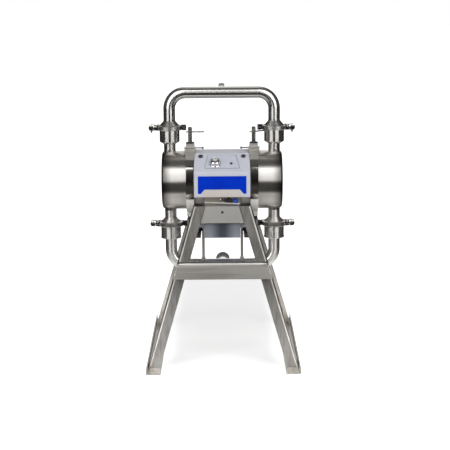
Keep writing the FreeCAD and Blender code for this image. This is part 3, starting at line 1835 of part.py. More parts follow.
def check_and_write():
    """Stop on any failed object, then write one file per sub-part."""
    doc.recompute()
    for item in doc.Objects:
        for state in ("Invalid", "Error"):
            if state in item.State:
                raise RuntimeError("%s is %s" % (item.Name, state))
        if item.isDerivedFrom("PartDesign::Pocket") or item.isDerivedFrom("PartDesign::Groove"):
            if item.Shape.Volume > item.BaseFeature.Shape.Volume - 1e-3:
                print("%s cuts nothing" % item.Name)
    os.makedirs("parts", exist_ok=True)
    for name, item in nodes.items():
        shape = item.Shape
        if shape.isNull() or not shape.isValid():
            raise RuntimeError("%s has no valid shape" % name)
        shape.exportStep("parts/%s.step" % name)
        print(name, len(shape.Solids), round(shape.Volume / 1000, 2))


check_and_write()
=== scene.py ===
import bpy
import math
from mathutils import Matrix, Vector


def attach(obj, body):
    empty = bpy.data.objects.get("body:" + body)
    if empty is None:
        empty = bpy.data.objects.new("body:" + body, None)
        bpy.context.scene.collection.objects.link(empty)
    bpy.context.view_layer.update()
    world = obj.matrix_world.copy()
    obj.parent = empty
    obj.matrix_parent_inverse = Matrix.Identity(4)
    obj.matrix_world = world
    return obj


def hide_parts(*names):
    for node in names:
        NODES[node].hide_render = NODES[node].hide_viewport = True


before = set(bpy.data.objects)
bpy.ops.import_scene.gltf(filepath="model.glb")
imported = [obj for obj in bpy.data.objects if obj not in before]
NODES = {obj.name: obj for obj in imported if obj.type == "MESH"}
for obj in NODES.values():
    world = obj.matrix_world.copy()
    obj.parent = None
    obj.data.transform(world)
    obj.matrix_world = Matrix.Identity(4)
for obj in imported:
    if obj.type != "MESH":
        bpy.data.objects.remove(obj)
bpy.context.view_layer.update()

# Camera in front of the pump and above it, tilted down; angles in degrees
CAMERA_PLACE = (0.0088, -4.2, 1.3)
CAMERA_TILT = 11.5
CAMERA_ROLL = -0.43
CAMERA_ANGLE = 21.26
CAMERA_REACH = 100

# Places on the pump, in metres
AXIS_HEIGHT = 0.611
PORT_SIDE = 0.184
BEND_SIDE = 0.127
OUTLET_TURN = 0.8625
INLET_TURN = 0.3595
COVER_RADIUS = 0.108
SHORTEST = 0.0001

# How much smoother the valve chambers are than the drum, and how much rougher the lower ones
CHAMBER_SMOOTHER = 0.10
LOWER_ROUGHER = 0.12

# Zones of the materials: where each begins and where it is full; several of them place painted
# light, shade and reflections
PORT_EDGE = 0.004
PORT_DEPTH = (0.026, 0.032)
JAW_HEIGHT = (AXIS_HEIGHT + 0.078, AXIS_HEIGHT + 0.086)
TONGUE_HEIGHT = (AXIS_HEIGHT - 0.050, AXIS_HEIGHT - 0.058)
COVER_REFLECTION_END = (0.170, 0.212)
LUG_DISTANCE = (0.034, 0.044)
LEG_REFLECTION_HEIGHT = (0.05, 0.33)
FLANGE_REFLECTION_FACING = (0.93, 0.985)
BEND_FACING = (0.15, 0.40)
STAND_STREAKS = (0.38, 0.66)
BAR_STREAKS = (0.40, 0.66)
LIP_REFLECTION_HEIGHT = (AXIS_HEIGHT - 0.012, AXIS_HEIGHT - 0.019)
LIP_SIDE = (0.072, 0.062)
RECESS_SHADE_HEIGHT = (AXIS_HEIGHT - 0.040, AXIS_HEIGHT - 0.046)
DEEP_SHADE_HEIGHT = (0.542, 0.532)
BLOCK_HEIGHT = (0.480, 0.460)
BLOCK_REFLECTION_SIDE = (0.004, 0.052)

# Noise
EVEN = (1, 1, 1)
ALONG_X = (0.02, 1, 1)
ALONG_Y = (1, 0.02, 1)
ALONG_Z = (1, 1, 0.02)
ALONG_BAR = (0.04, 1, 1)
IRON_SHEETS = (1, 0.1, 0.1)
STREAK_WIDTH = 2.5
STAND_STREAK = 70
BAR_STREAK = 90
TUBE_GRAIN = 600
CAST_GRAIN = 500
SHEET_GRAIN = 900
NOISE_ROUGHNESS = 0.55
BROAD_DETAIL = 2.0
FINE_DETAIL = 3.0
METAL_BLOTCH = 7.0
PAINT_BLOTCH = 14.0
CAST_BLOTCH = 60.0
BLOTCH_RANGE = (0.35, 0.65)
GRAIN_RANGE = (0.3, 0.7)
METAL_RELIEF = 0.0002
SKIN_RELIEF = 0.0003

# Plain metals: name, dark and light tone, roughness range, grain, its direction, its depth, nodes
METALS = [
    ("polished_rod", (0.60, 0.59, 0.57), (0.65, 0.64, 0.62), (0.145, 0.175), 300, EVEN, 0.01,
     ["t_handle_left", "t_handle_right", "tommy_bar_left", "tommy_bar_right", "lock_pins"]),
    ("cast_clamp", (0.52, 0.505, 0.48), (0.60, 0.585, 0.56), (0.27, 0.33), 500, EVEN, 0.05,
     ["valve_cages", "rotor_bearings", "bearing_plates", "diaphragm_plates_left",
      "diaphragm_plates_right", "drive_screw"]),
    ("cast_block", (0.60, 0.585, 0.55), (0.66, 0.645, 0.61), (0.45, 0.51), 500, EVEN, 0.05,
     ["closure_blocks"]),
    ("brushed_bar", (0.52, 0.505, 0.48), (0.56, 0.545, 0.52), (0.36, 0.40), 900, ALONG_X, 0.008,
     ["top_plates"]),
    ("wing_nut_steel", (0.72, 0.71, 0.69), (0.80, 0.79, 0.77), (0.09, 0.15), 300, EVEN, 0.02,
     ["wing_nut_outlet_left", "wing_nut_outlet_right", "wing_nut_inlet_left",
      "wing_nut_inlet_right", "signal_connector"]),
    ("bright_wire", (0.86, 0.85, 0.83), (0.92, 0.91, 0.89), (0.31, 0.37), 500, EVEN, 0.01,
     ["connector_guard", "manifold_hangers"]),
    ("plain_screw", (0.10, 0.10, 0.11), (0.15, 0.15, 0.16), (0.27, 0.33), 500, EVEN, 0.1,
     ["panel_screws", "mount_bolts"]),
    ("laminated_iron", (0.2, 0.2, 0.21), (0.3, 0.3, 0.31), (0.42, 0.48), 500, IRON_SHEETS, 0.2,
     ["stator", "rotor"]),
    ("knob_face", (0.80, 0.80, 0.80), (0.86, 0.86, 0.86), (0.07, 0.13), 400, EVEN, 0.01,
     ["control_knob"]),
    ("weld_bead", (0.62, 0.60, 0.57), (0.74, 0.72, 0.68), (0.21, 0.27), 300, EVEN, 0.05, []),
    ("rolled_edge", (0.94, 0.92, 0.89), (1.0, 0.98, 0.95), (0.39, 0.45), 500, EVEN, 0.02, []),
]

# Paint, plastic and rubber: name, dark and light tone, roughness range, grain, depth, shine, nodes
SHINE = 0.5
SKINS = [
    ("panel_paint", (0.42, 0.435, 0.50), (0.44, 0.455, 0.52), (0.31, 0.41), 900, 0.05, SHINE,
     ["control_panel"]),
    ("label_blue", (0.0, 0.022, 0.37), (0.0, 0.028, 0.42), (0.29, 0.39), 700, 0.02, 0.05,
     ["label_plate"]),
    ("black_plastic", (0.012, 0.012, 0.014), (0.02, 0.02, 0.022), (0.33, 0.43), 800, 0.1, SHINE,
     ["indicator_lens", "power_connector"]),
    ("blue_plastic", (0.01, 0.05, 0.30), (0.015, 0.07, 0.36), (0.30, 0.40), 800, 0.1, SHINE,
     ["capped_connector"]),
    ("black_rubber", (0.010, 0.010, 0.010), (0.018, 0.018, 0.018), (0.55, 0.65), 600, 0.2, 0.15,
     ["rubber_mounts", "stop_washers"]),
    ("white_gasket", (0.72, 0.71, 0.67), (0.8, 0.79, 0.76), (0.45, 0.55), 600, 0.1, SHINE,
     ["joint_gaskets", "diaphragm_left", "diaphragm_right", "ball_outlet_left",
      "ball_outlet_right", "ball_inlet_left", "ball_inlet_right"]),
]

# Floor: bright table under the pump for reflections, and a shaded patch for the eye
FLOOR_SIZE = 60
FLOOR_DROP = 0.0005
TABLE = {"side": 0.5, "side_soft": 0.32, "front": -0.45, "back": 0.6, "soft": 0.32}
SHADE = {"side": 0.15, "side_soft": 0.13, "front": -0.45, "back": 1.05, "soft": 0.3}
SHADE_GLOW = 0.36
FAR_GLOW = 0.96
TABLE_GLOW = 0.4
ROOM_FLOOR = (0.05, 0.048, 0.045, 1)
TABLE_COLOUR = (0.62, 0.61, 0.59, 1)
FLOOR_COLOUR = (0.8, 0.8, 0.8, 1)

# World: levels of the mirrored room by height or by depth, a grey fill and white for the eye
ROOM_TINT = (1, 0.985, 0.96)
ROOM_FRONT = [(0.0, 0.01), (0.34, 0.02), (0.57, 0.05), (0.77, 0.10), (0.9, 0.10), (1.0, 0.12)]
ROOM_SIDES = [(0.0, 0.09), (0.5, 0.07), (1.0, 0.08)]
BACKDROP = [(0.0, 0.2), (0.2, 0.42), (0.56, 0.75), (0.95, 0.9)]
BACKDROP_SIDE = (0.3, 0.15)
BACKDROP_DEPTH = (0.0, 0.15)
SIDES_START = (0.6, 0.9)
FILL = (0.42, 0.42, 0.42, 1)
WHITE = (1, 1, 1, 1)

# Lamps: two tall boxes aimed at the pump and a strip overhead
BOX_AIM = (0, 0, 0.6)
BOX_RISE = 27
BOX_DISTANCE = 2.6
BOX_SIZE = (1.85, 2.6)
BOX_GLOW = 2.5
BOX_AZIMUTHS = {"front_left": -32.5, "front_right": 34}
STRIP_PLACE = (0, 0.9, 3.1)
STRIP_AIM = (0, 0.5, 0.7)
STRIP_SIZE = (0.5, 2.3)
STRIP_GLOW = 0.2

# Knob: centre and axis of its joint, and rows of radius, height and depth of the flutes
KNOB_CENTRE = (-0.024, -0.09756, 0.68017)
KNOB_AXIS = (0, -0.57275681, 0.81972534)
KNOB_SIDES = 192
KNOB_FLUTES = 24
KNOB_PROFILE = [
    (0.0192, 0.0, 0.0), (0.0200, 0.0008, 0.0), (0.0200, 0.0042, 0.0), (0.0194, 0.0050, 0.0),
    (0.0182, 0.0054, 0.0), (0.0176, 0.0060, 0.0), (0.0175, 0.0075, 0.0007),
    (0.0174, 0.0110, 0.0007), (0.0173, 0.0135, 0.0007), (0.0169, 0.0150, 0.00028),
    (0.0160, 0.0165, 0.0), (0.0144, 0.0178, 0.0), (0.0120, 0.0188, 0.0),
    (0.0090, 0.0195, 0.0), (0.0055, 0.0199, 0.0), (0.0020, 0.0200, 0.0),
]

# Beads on the crossbar: ends on the right-hand side, radius and ripples
BEAD_ROWS = 90
BEAD_SIDES = 14
BEAD_WAVE = 0.0024
BEAD_END = 0.3
BEAD_SWELL = 8
WELD_TOP = (0.1533, -0.2455, 0.358)
WELD_FOOT = (0.1680, -0.2555, 0.311)
WELD_RADIUS = 0.0019
WELD_RIPPLE = 0.14
ROLLED_END = (0.1530, -0.2430, 0.3592)
ROLLED_RADIUS = 0.0044


def make_camera():
    data = bpy.data.cameras.new("camera")
    data.sensor_fit = "HORIZONTAL"
    data.angle = math.radians(CAMERA_ANGLE)
    data.clip_end = CAMERA_REACH
    camera = bpy.data.objects.new("camera", data)
    camera.location = CAMERA_PLACE
    tilt = Matrix.Rotation(math.radians(90 - CAMERA_TILT), 3, "X")
    roll = Matrix.Rotation(math.radians(CAMERA_ROLL), 3, "Z")
    camera.rotation_euler = (tilt @ roll).to_euler()
    bpy.context.scene.collection.objects.link(camera)
    bpy.context.scene.camera = camera


class Graph:
    """Short calls that add nodes to one tree."""

    def __init__(self, tree):
        self.tree = tree
        self.texture = self.new("TexCoord").outputs

    def new(self, kind, **settings):
        node = self.tree.nodes.new("ShaderNode" + kind)
        for name, value in settings.items():
            setattr(node, name, value)
        return node

    def feed(self, socket, value):
        """Link another node's output to the socket, or set a plain value on it."""
        if isinstance(value, bpy.types.NodeSocket):
            self.tree.links.new(value, socket)
        else:
            socket.default_value = value

    def split(self, coordinates):
        node = self.new("SeparateXYZ")
        self.feed(node.inputs["Vector"], self.texture[coordinates])
        return node.outputs

    def maths(self, operation, *values):
        node = self.new("Math", operation=operation)
        for socket, value in zip(node.inputs, values):
            self.feed(socket, value)
        return node.outputs["Value"]

    def times(self, first, second):
        return self.maths("MULTIPLY", first, second)

    def without(self, factor):
        return self.maths("SUBTRACT", 1.0, factor)

    def between(self, factor, start, end):
        """The start value where the factor is zero, the end value where it is one."""
        return self.maths("MULTIPLY_ADD", factor, end - start, start)

    def zone(self, value, bounds):
        """Soft step: zero at the first bound, one at the second."""
        node = self.new("MapRange", interpolation_type="SMOOTHSTEP")
        node.inputs["From Min"].default_value, node.inputs["From Max"].default_value = bounds
        self.feed(node.inputs["Value"], value)
        return node.outputs["Result"]

    def mix(self, factor, first, second, blend="MIX"):
        node = self.new("Mix", data_type="RGBA", blend_type=blend)
        self.feed(node.inputs["Factor"], factor)
        self.feed(node.inputs["A"], first)
        self.feed(node.inputs["B"], second)
        return node.outputs["Result"]

    def ramp(self, value, stops):
        node = self.new("ValToRGB")
        self.feed(node.inputs["Fac"], value)
        elements = node.color_ramp.elements
        while len(elements) < len(stops):
            elements.new(0.5)
        for element, (position, colour) in zip(elements, stops):
            element.position = position
            element.color = (*colour, 1)
        return node.outputs["Color"]


class Surface(Graph):
    """A material with a Principled shader."""

    def __init__(self, name, **values):
        self.material = bpy.data.materials.new(name)
        self.material.use_nodes = True
        super().__init__(self.material.node_tree)
        self.shader = self.tree.nodes["Principled BSDF"]
        self.shade(**values)

    def shade(self, **values):
        for name, value in values.items():
            self.feed(self.shader.inputs[name.replace("_", " ")], value)

    def noise(self, scale, detail, stretch=EVEN):
        mapping = self.new("Mapping")
        mapping.inputs["Scale"].default_value = stretch
        self.feed(mapping.inputs["Vector"], self.texture["Object"])
        node = self.new("TexNoise")
        node.inputs["Scale"].default_value = scale
        node.inputs["Detail"].default_value = detail
        node.inputs["Roughness"].default_value = NOISE_ROUGHNESS
        self.feed(node.inputs["Vector"], mapping.outputs["Vector"])
        return node.outputs["Fac"]

    def blotches(self, dark, light, scale=METAL_BLOTCH):
        return self.ramp(self.noise(scale, BROAD_DETAIL), list(zip(BLOTCH_RANGE, (dark, light))))

    def toned(self, colour, factor, tone):
        """Multiply the colour by a tone where the factor is one."""
        return self.mix(factor, colour, (*tone, 1), "MULTIPLY")

    def streaked(self, colour, scale, stretch, level, tone):
        """Multiply the colour by a tone in streaks."""
        return self.toned(colour, self.zone(self.noise(scale, FINE_DETAIL, stretch), level), tone)

    def grain(self, scale, rough, depth=0, stretch=EVEN, relief=METAL_RELIEF):
        """Fine grain: a bump, unless its depth is zero, and the roughness that goes with it."""
        fine = self.noise(scale, FINE_DETAIL, stretch)
        if depth:
            bump = self.new("Bump")
            bump.inputs["Strength"].default_value = depth
            bump.inputs["Distance"].default_value = relief
            self.feed(bump.inputs["Height"], fine)
            self.shade(Normal=bump.outputs["Normal"])
        node = self.new("MapRange")
        node.inputs["From Min"].default_value, node.inputs["From Max"].default_value = GRAIN_RANGE
        node.inputs["To Min"].default_value, node.inputs["To Max"].default_value = rough
        self.feed(node.inputs["Value"], fine)
        return node.outputs["Result"]


def metal(name, dark, light, rough, grain, stretch, depth):
    """Bare metal: two close tones in blotches and a fine grain."""
    item = Surface(name, Metallic=1.0)
    item.shade(Base_Color=item.blotches(dark, light),
               Roughness=item.grain(grain, rough, depth, stretch))
    return item.material


def moulded(name, dark, light, rough, grain, depth, shine):
    """Paint, plastic or rubber: a flat tone with slight blotches and a skin texture."""
    item = Surface(name, Specular_IOR_Level=shine)
    item.shade(Base_Color=item.blotches(dark, light, PAINT_BLOTCH),
               Roughness=item.grain(grain, rough, depth, relief=SKIN_RELIEF))
    return item.material


def shaded(tone, level):
    return tuple(level * part for part in tone)


def along_tube(item, place, turn, up):
    """Direction along a U-shaped tube: level run, two bends and two upright ends."""
    past = item.maths("SUBTRACT", item.maths("ABSOLUTE", place["X"]), BEND_SIDE)
    past = item.maths("MAXIMUM", past, SHORTEST)
    height = item.maths("SUBTRACT", place["Z"], turn)
    height = item.maths("MAXIMUM" if up else "MINIMUM", height, 0.0)
    join = item.new("CombineXYZ")
    item.feed(join.inputs["X"], height)
    inward = item.times(item.maths("SIGN", place["X"]), -1)
    item.feed(join.inputs["Z"], item.times(past, inward))
    unit = item.new("VectorMath", operation="NORMALIZE")
    item.feed(unit.inputs[0], join.outputs["Vector"])
    return unit.outputs["Vector"]


def tube_metal(name, turn, up, shade, rough, port_side):
    """Polished tube whose reflections smear along it, and whose rear port is dull."""
    item = Surface(name, Anisotropic=1.0)
    place = item.split("Object")
    away = item.maths("ABSOLUTE", place["X"])
    port = item.times(item.zone(away, (port_side + PORT_EDGE, port_side)),
                      item.zone(place["Y"], PORT_DEPTH))
    # shade scales the tones; above 1 it is painted light
    tones = item.blotches(shaded((0.70, 0.69, 0.67), shade), shaded((0.76, 0.75, 0.73), shade))
    item.shade(Tangent=along_tube(item, place, turn, up),
               Base_Color=item.toned(tones, port, (0.30, 0.295, 0.27)),
               Metallic=item.between(port, 1.0, 0.15),
               Roughness=item.maths("ADD", item.between(port, rough, rough + 0.35),
                                    item.grain(TUBE_GRAIN, (0.0, 0.03))))
    return item.material


def ring_metal(name):
    """Polished clamp ring whose jaws and hinge tongue are rough cast; the tongue's paler, less
    metallic tone is painted light, as it faces the dark floor.
    """
    item = Surface(name)
    height = item.split("Object")["Z"]
    tongue = item.zone(height, TONGUE_HEIGHT)
    cast = item.maths("MAXIMUM", item.zone(height, JAW_HEIGHT), tongue)
    tones = item.blotches((0.84, 0.815, 0.77), (0.90, 0.875, 0.83))
    # Painted light: the band is toned darker than the hinge tongue
    item.shade(Base_Color=item.toned(tones, item.without(tongue), (0.74, 0.735, 0.725)),
               Metallic=item.between(tongue, 1.0, 0.25),
               Roughness=item.maths("ADD", item.between(cast, 0.08, 0.50),
                                    item.grain(CAST_GRAIN, (-0.02, 0.02), 0.03)))
    return item.material


def stand_metal(name, stretch, shade):
    """Brushed stainless sheet with streaks, darkened towards the top by a painted reflection of a
    darker room above.
    """
    item = Surface(name, Metallic=1.0)
    tones = item.blotches(shaded((0.92, 0.89, 0.84), shade), shaded((1.0, 0.98, 0.94), shade))
    wide = tuple(min(1.0, STREAK_WIDTH * axis) for axis in stretch)
    tones = item.streaked(tones, STAND_STREAK, wide, STAND_STREAKS, (0.74, 0.72, 0.70))
    # Painted reflection: the metal is toned darker higher up
    high = item.zone(item.split("Object")["Z"], LEG_REFLECTION_HEIGHT)
    item.shade(Base_Color=item.toned(tones, high, (0.38, 0.38, 0.375)),
               Roughness=item.grain(SHEET_GRAIN, (0.34, 0.38), 0.008, stretch))
    return item.material


def folded_metal(name):
    """Brushed sheet bar: a painted reflection darkens the level flange on top, and a painted
    highlight brightens the bend below it.
    """
    item = Surface(name, Metallic=1.0)
    upward = item.split("Normal")["Z"]
    level = item.zone(upward, FLANGE_REFLECTION_FACING)
    bend = item.maths("SUBTRACT", item.zone(upward, BEND_FACING), level)
    tones = item.blotches((0.88, 0.86, 0.82), (0.94, 0.92, 0.88))
    tones = item.streaked(tones, BAR_STREAK, ALONG_BAR, BAR_STREAKS, (0.78, 0.76, 0.74))
    # Painted highlight: all but the bend is toned darker
    tones = item.toned(tones, item.without(bend), (0.70, 0.69, 0.68))
    # Painted reflection: the level flange is toned dark
    item.shade(Base_Color=item.toned(tones, level, (0.36, 0.35, 0.34)),
               Roughness=item.maths("ADD", item.between(bend, 0.36, 0.26),
                                    item.grain(SHEET_GRAIN, (0.0, 0.04), 0.008, ALONG_X)))
    return item.material


def clamp_metal(name):
    """Cast clamp steel: smoother lugs, darkened by a painted reflection, beside the paler middle
    of each clamp.
    """
    item = Surface(name, Metallic=1.0)
    away = item.maths("ABSOLUTE", item.split("Object")["X"])
    lug = item.zone(item.maths("ABSOLUTE", item.maths("SUBTRACT", away, PORT_SIDE)), LUG_DISTANCE)
    tones = item.blotches((0.56, 0.545, 0.52), (0.66, 0.645, 0.62), CAST_BLOTCH)
    grain = item.grain(CAST_GRAIN, (0.0, 0.04), 0.05, relief=SKIN_RELIEF)
    # Painted reflection: the lugs are toned dark
    item.shade(Base_Color=item.toned(tones, lug, (0.42, 0.42, 0.42)),
               Roughness=item.maths("ADD", item.between(lug, 0.28, 0.14), grain))
    return item.material


def housing_paint(name):
    """Grey paint with a warm painted reflection on the front lip and brownish painted shade in the
    recess, darkest at its bottom; the lower block is blue paint, darkened by painted shade and by
    a painted reflection towards its middle.
    """
    item = Surface(name)
    place = item.split("Object")
    height = place["Z"]
    away = item.maths("ABSOLUTE", place["X"])
    middle = item.zone(away, LIP_SIDE)
    recess = item.zone(height, RECESS_SHADE_HEIGHT)
    lip = item.times(item.zone(height, LIP_REFLECTION_HEIGHT), middle)
    paint = item.blotches((0.43, 0.44, 0.495), (0.45, 0.46, 0.515), PAINT_BLOTCH)
    # Painted reflection: warm light on the front lip
    paint = item.toned(paint, lip, (1.06, 0.98, 0.80))
    # Painted shade: the recess is darker and browner, darker still in its middle
    paint = item.toned(paint, recess, (0.92, 0.86, 0.74))
    paint = item.toned(paint, item.times(recess, middle), (0.70, 0.71, 0.75))
    # Painted shade: the bottom of the recess is toned very dark
    paint = item.toned(paint, item.zone(height, DEEP_SHADE_HEIGHT), (0.15, 0.15, 0.15))
    # Blue paint, darkened by painted shade and by a painted reflection towards its middle
    block = item.ramp(item.zone(away, BLOCK_REFLECTION_SIDE),
                      [(0.0, (0.072, 0.084, 0.112)), (1.0, (0.38, 0.40, 0.46))])
    item.shade(Base_Color=item.mix(item.zone(height, BLOCK_HEIGHT), paint, block),
               Roughness=item.grain(SHEET_GRAIN, (0.38, 0.46), 0.08, relief=SKIN_RELIEF))
    return item.material


def cover_metal(name):
    """Lathe-turned drum with an upright chamber on each side; a painted reflection darkens the
    drum to its outer end, and painted light leaves the lower chambers lightest and the drum
    darkest.
    """
    item = Surface(name, Metallic=1.0, Anisotropic=0.9)
    place = item.split("Object")
    height = place["Z"]
    rise = item.maths("ABSOLUTE", item.maths("SUBTRACT", height, AXIS_HEIGHT))
    chamber = item.maths("GREATER_THAN", rise, COVER_RADIUS)
    drum = item.without(chamber)
    lower = item.times(chamber, item.maths("LESS_THAN", height, AXIS_HEIGHT))
    around = item.new("Tangent", direction_type="RADIAL", axis="X")
    tangent = item.new("Mix", data_type="VECTOR")
    item.feed(tangent.inputs["Factor"], chamber)
    item.feed(tangent.inputs["A"], around.outputs["Tangent"])
    item.feed(tangent.inputs["B"], (0, 0, 1))
    tones = item.blotches((0.92, 0.89, 0.85), (0.99, 0.96, 0.925))
    # Painted light: all but the lower chambers are toned darker, the drum darker still
    tones = item.toned(tones, item.without(lower), (0.81, 0.81, 0.81))
    tones = item.toned(tones, drum, (0.84, 0.84, 0.84))
    # Painted reflection: the drum darkens to its outer end
    end = item.times(item.zone(item.maths("ABSOLUTE", place["X"]), COVER_REFLECTION_END), drum)
    change = item.maths("MULTIPLY_ADD", lower, LOWER_ROUGHER,
                        item.times(chamber, -CHAMBER_SMOOTHER))
    item.shade(Tangent=tangent.outputs["Result"],
               Anisotropic_Rotation=item.between(chamber, 0.25, 0.0),
               Base_Color=item.toned(tones, end, (0.13, 0.12, 0.115)),
               Roughness=item.maths("ADD", item.grain(TUBE_GRAIN, (0.30, 0.34)), change))
    return item.material


def dress(material, *names):
    for name in names:
        slots = NODES[name].data.materials
        slots.clear()
        slots.append(material)


def make_materials():
    """Dress every node; returns the plain metals by name, for the new pieces."""
    dress(tube_metal("outlet_tube", turn=OUTLET_TURN, up=True, shade=1.0, rough=0.16,
                     port_side=0.009), "outlet_manifold")
    # Painted light: the inlet is a brighter copy of the outlet's polished steel
    dress(tube_metal("inlet_tube_painted_light", turn=INLET_TURN, up=False, shade=1.28, rough=0.25,
                     port_side=0.050), "inlet_manifold")
    dress(cover_metal("turned_cover"), "fluid_cover_left", "fluid_cover_right")
    dress(ring_metal("polished_ring"), "ring_clamp_left", "ring_clamp_right", "ring_hinge_pins")
    dress(clamp_metal("clamp_steel"), "clamp_halves", "clamp_hinge_pins", "swing_bolts")
    dress(stand_metal("brushed_stand", ALONG_Z, shade=1.0),
          "leg_front_left", "leg_front_right", "leg_rear_left", "leg_rear_right")
    # Painted shade: the rails are a darker copy of the stand's metal
    dress(stand_metal("brushed_rail_painted_shade", ALONG_Y, shade=0.62),
          "base_rail_left", "base_rail_right", "mount_rail_left", "mount_rail_right")
    dress(folded_metal("folded_bar"), "front_crossbar")
    dress(housing_paint("housing_paint"), "centre_housing")
    metals = {}
    for name, *values, nodes in METALS:
        metals[name] = metal(name, *values)
        dress(metals[name], *nodes)
    for name, *values, nodes in SKINS:
        dress(moulded(name, *values), *nodes)
    return metals


def make_mesh(name, vertices, count, material, body):
    """Solid through closed rows of vertices, with a cap at each end, riding on a body."""
    rows = len(vertices) // count
    faces = [tuple(reversed(range(count)))]
    for row in range(rows - 1):
        low, high = row * count, (row + 1) * count
        for step in range(count):
            after = (step + 1) % count
            faces.append((low + step, low + after, high + after, high + step))
    faces.append(tuple(range((rows - 1) * count, rows * count)))
    mesh = bpy.data.meshes.new(name)
    mesh.from_pydata([tuple(vertex) for vertex in vertices], [], faces)
    mesh.polygons.foreach_set("use_smooth", [True] * len(faces))
    mesh.update()
    piece = bpy.data.objects.new(name, mesh)
    bpy.context.scene.collection.objects.link(piece)
    mesh.materials.append(material)
    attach(piece, body)
    return piece


def circle(centre, across, up, count, reach):
    """Row of vertices around a centre; reach gives the radius at an angle."""
    vertices = []
    for step in range(count):
        angle = 2 * math.pi * step / count
        radius = reach(angle)
        vertices.append(centre + across * (radius * math.cos(angle))
                        + up * (radius * math.sin(angle)))
    return vertices


def make_knob(material):
    """Turned knob: plain skirt, fluted grip and a domed top."""
    centre = Vector(KNOB_CENTRE)
    axis = Vector(KNOB_AXIS)
    across = Vector((1, 0, 0))
    up = axis.cross(across)
    vertices = []
    for radius, height, depth in KNOB_PROFILE:
        vertices += circle(
            centre + axis * height, across, up, KNOB_SIDES,
            lambda angle: radius - depth * max(0.0, math.cos(KNOB_FLUTES * angle)))
    piece = make_mesh("knob_turned", vertices, KNOB_SIDES, material, "knob")
    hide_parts("control_knob")


def make_bead(name, start, end, radius, material, ripple):
    """Rounded bead laid from start to end: a low rippled tube with tapered ends."""
    start, end = Vector(start), Vector(end)
    along = (end - start).normalized()
    side = along.cross(Vector((0, 1, 0))).normalized()
    out = along.cross(side)
    length = (end - start).length
    vertices = []
    for row in range(BEAD_ROWS):
        part = row / (BEAD_ROWS - 1)
        taper = min(1.0, BEAD_SWELL * part + BEAD_END, BEAD_SWELL * (1 - part) + BEAD_END)
        wave = 1 + ripple * math.sin(2 * math.pi * part * length / BEAD_WAVE)
        vertices += circle(start + along * (length * part), side, out, BEAD_SIDES,
                           lambda angle: radius * taper * wave)
    piece = make_mesh(name, vertices, BEAD_SIDES, material, "frame")


def mirrored(point, side):
    return (side * point[0], point[1], point[2])


def make_pieces(metals):
    """Knob, weld beads at the crossbar's ends and its rolled upper edge."""
    make_knob(metals["knob_face"])
    for name, side in (("left", -1), ("right", 1)):
        make_bead("crossbar_weld_" + name, mirrored(WELD_TOP, side), mirrored(WELD_FOOT, side),
                  WELD_RADIUS, metals["weld_bead"], WELD_RIPPLE)
    make_bead("crossbar_rolled_edge", mirrored(ROLLED_END, -1), ROLLED_END, ROLLED_RADIUS,
              metals["rolled_edge"], 0.0)


def patch(graph, place, side, side_soft, front, back, soft):
    """Rectangle on the floor with soft edges: one inside, zero outside."""
    return graph.times(
        graph.times(graph.zone(place["X"], (-side - side_soft, -side)),
                    graph.zone(place["X"], (side + side_soft, side))),
        graph.times(graph.zone(place["Y"], (front - soft, front)),
                    graph.zone(place["Y"], (back + soft, back))))


def make_floor():
    """White floor; reflections see it as a bright table in a dark room."""
    bpy.ops.mesh.primitive_plane_add(size=FLOOR_SIZE, location=(0, 0, -FLOOR_DROP))
    floor = bpy.context.object
    floor.name = "floor"
    material = bpy.data.materials.new("floor")
    material.use_nodes = True
    tree = material.node_tree
    tree.nodes.remove(tree.nodes["Principled BSDF"])
    graph = Graph(tree)
    place = graph.split("Object")
    path = graph.new("LightPath").outputs
    table = patch(graph, place, **TABLE)
    shade = patch(graph, place, **SHADE)
    reflected = graph.mix(table, ROOM_FLOOR, TABLE_COLOUR)
    diffuse = graph.new("BsdfDiffuse")
    graph.feed(diffuse.inputs["Color"],
               graph.mix(path["Is Glossy Ray"], FLOOR_COLOUR, reflected))
    seen = graph.times(path["Is Camera Ray"], graph.between(shade, FAR_GLOW, SHADE_GLOW))
    bright = graph.times(table, path["Is Glossy Ray"])
    glow = graph.new("Emission")
    graph.feed(glow.inputs["Strength"], graph.maths("MULTIPLY_ADD", bright, TABLE_GLOW, seen))
    total = graph.new("AddShader")
    graph.feed(total.inputs[0], diffuse.outputs["BSDF"])
    graph.feed(total.inputs[1], glow.outputs["Emission"])
    graph.feed(tree.nodes["Material Output"].inputs["Surface"], total.outputs["Shader"])
    floor.data.materials.append(material)


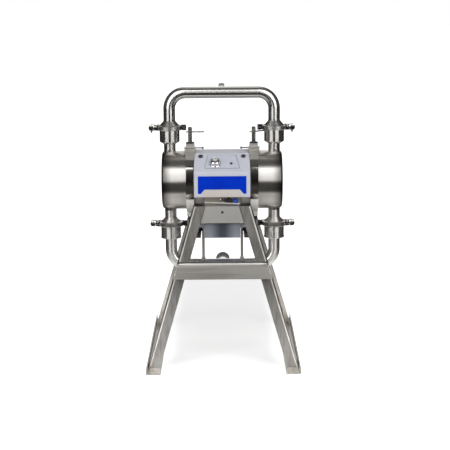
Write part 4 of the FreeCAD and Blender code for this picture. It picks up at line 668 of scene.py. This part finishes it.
def make_world():
    """White to the eye; reflections see a dark room with a bright backdrop straight behind."""
    world = bpy.data.worlds.new("studio")
    bpy.context.scene.world = world
    world.use_nodes = True
    graph = Graph(world.node_tree)
    place = graph.split("Generated")
    path = graph.new("LightPath").outputs
    away = graph.maths("ABSOLUTE", place["X"])
    front, sides, back = [
        graph.ramp(value, [(position, shaded(ROOM_TINT, level)) for position, level in stops])
        for value, stops in ((place["Z"], ROOM_FRONT), (place["Z"], ROOM_SIDES),
                             (place["Y"], BACKDROP))]
    straight = graph.times(graph.zone(away, BACKDROP_SIDE), graph.zone(place["Y"], BACKDROP_DEPTH))
    around = graph.mix(graph.zone(away, SIDES_START), front, sides)
    room = graph.mix(path["Is Glossy Ray"], FILL, graph.mix(straight, around, back))
    background = world.node_tree.nodes["Background"]
    graph.feed(background.inputs["Color"], graph.mix(path["Is Camera Ray"], room, WHITE))
    background.inputs["Strength"].default_value = 1.0


def make_lamp(name, place, aim, size, glow):
    """Soft box whose face has a given radiance."""
    data = bpy.data.lights.new(name, "AREA")
    data.shape = "RECTANGLE"
    data.size, data.size_y = size
    data.energy = glow * size[0] * size[1] * math.pi
    lamp = bpy.data.objects.new(name, data)
    lamp.location = place
    direction = Vector(aim) - Vector(place)
    lamp.rotation_euler = direction.to_track_quat("-Z", "Y").to_euler()
    lamp.visible_camera = False
    bpy.context.scene.collection.objects.link(lamp)


def make_lamps():
    """Two tall boxes in front with a dark gap between them, and a strip overhead."""
    rise = math.radians(BOX_RISE)
    away = BOX_DISTANCE * math.cos(rise)
    for name, azimuth in BOX_AZIMUTHS.items():
        angle = math.radians(azimuth)
        place = Vector(BOX_AIM) + Vector((away * math.sin(angle), -away * math.cos(angle),
                                          BOX_DISTANCE * math.sin(rise)))
        make_lamp(name, place, BOX_AIM, BOX_SIZE, BOX_GLOW)
    make_lamp("overhead", STRIP_PLACE, STRIP_AIM, STRIP_SIZE, STRIP_GLOW)


make_camera()
metals = make_materials()
make_pieces(metals)
make_floor()
make_world()
make_lamps()
bpy.context.scene.view_settings.view_transform = "Standard"
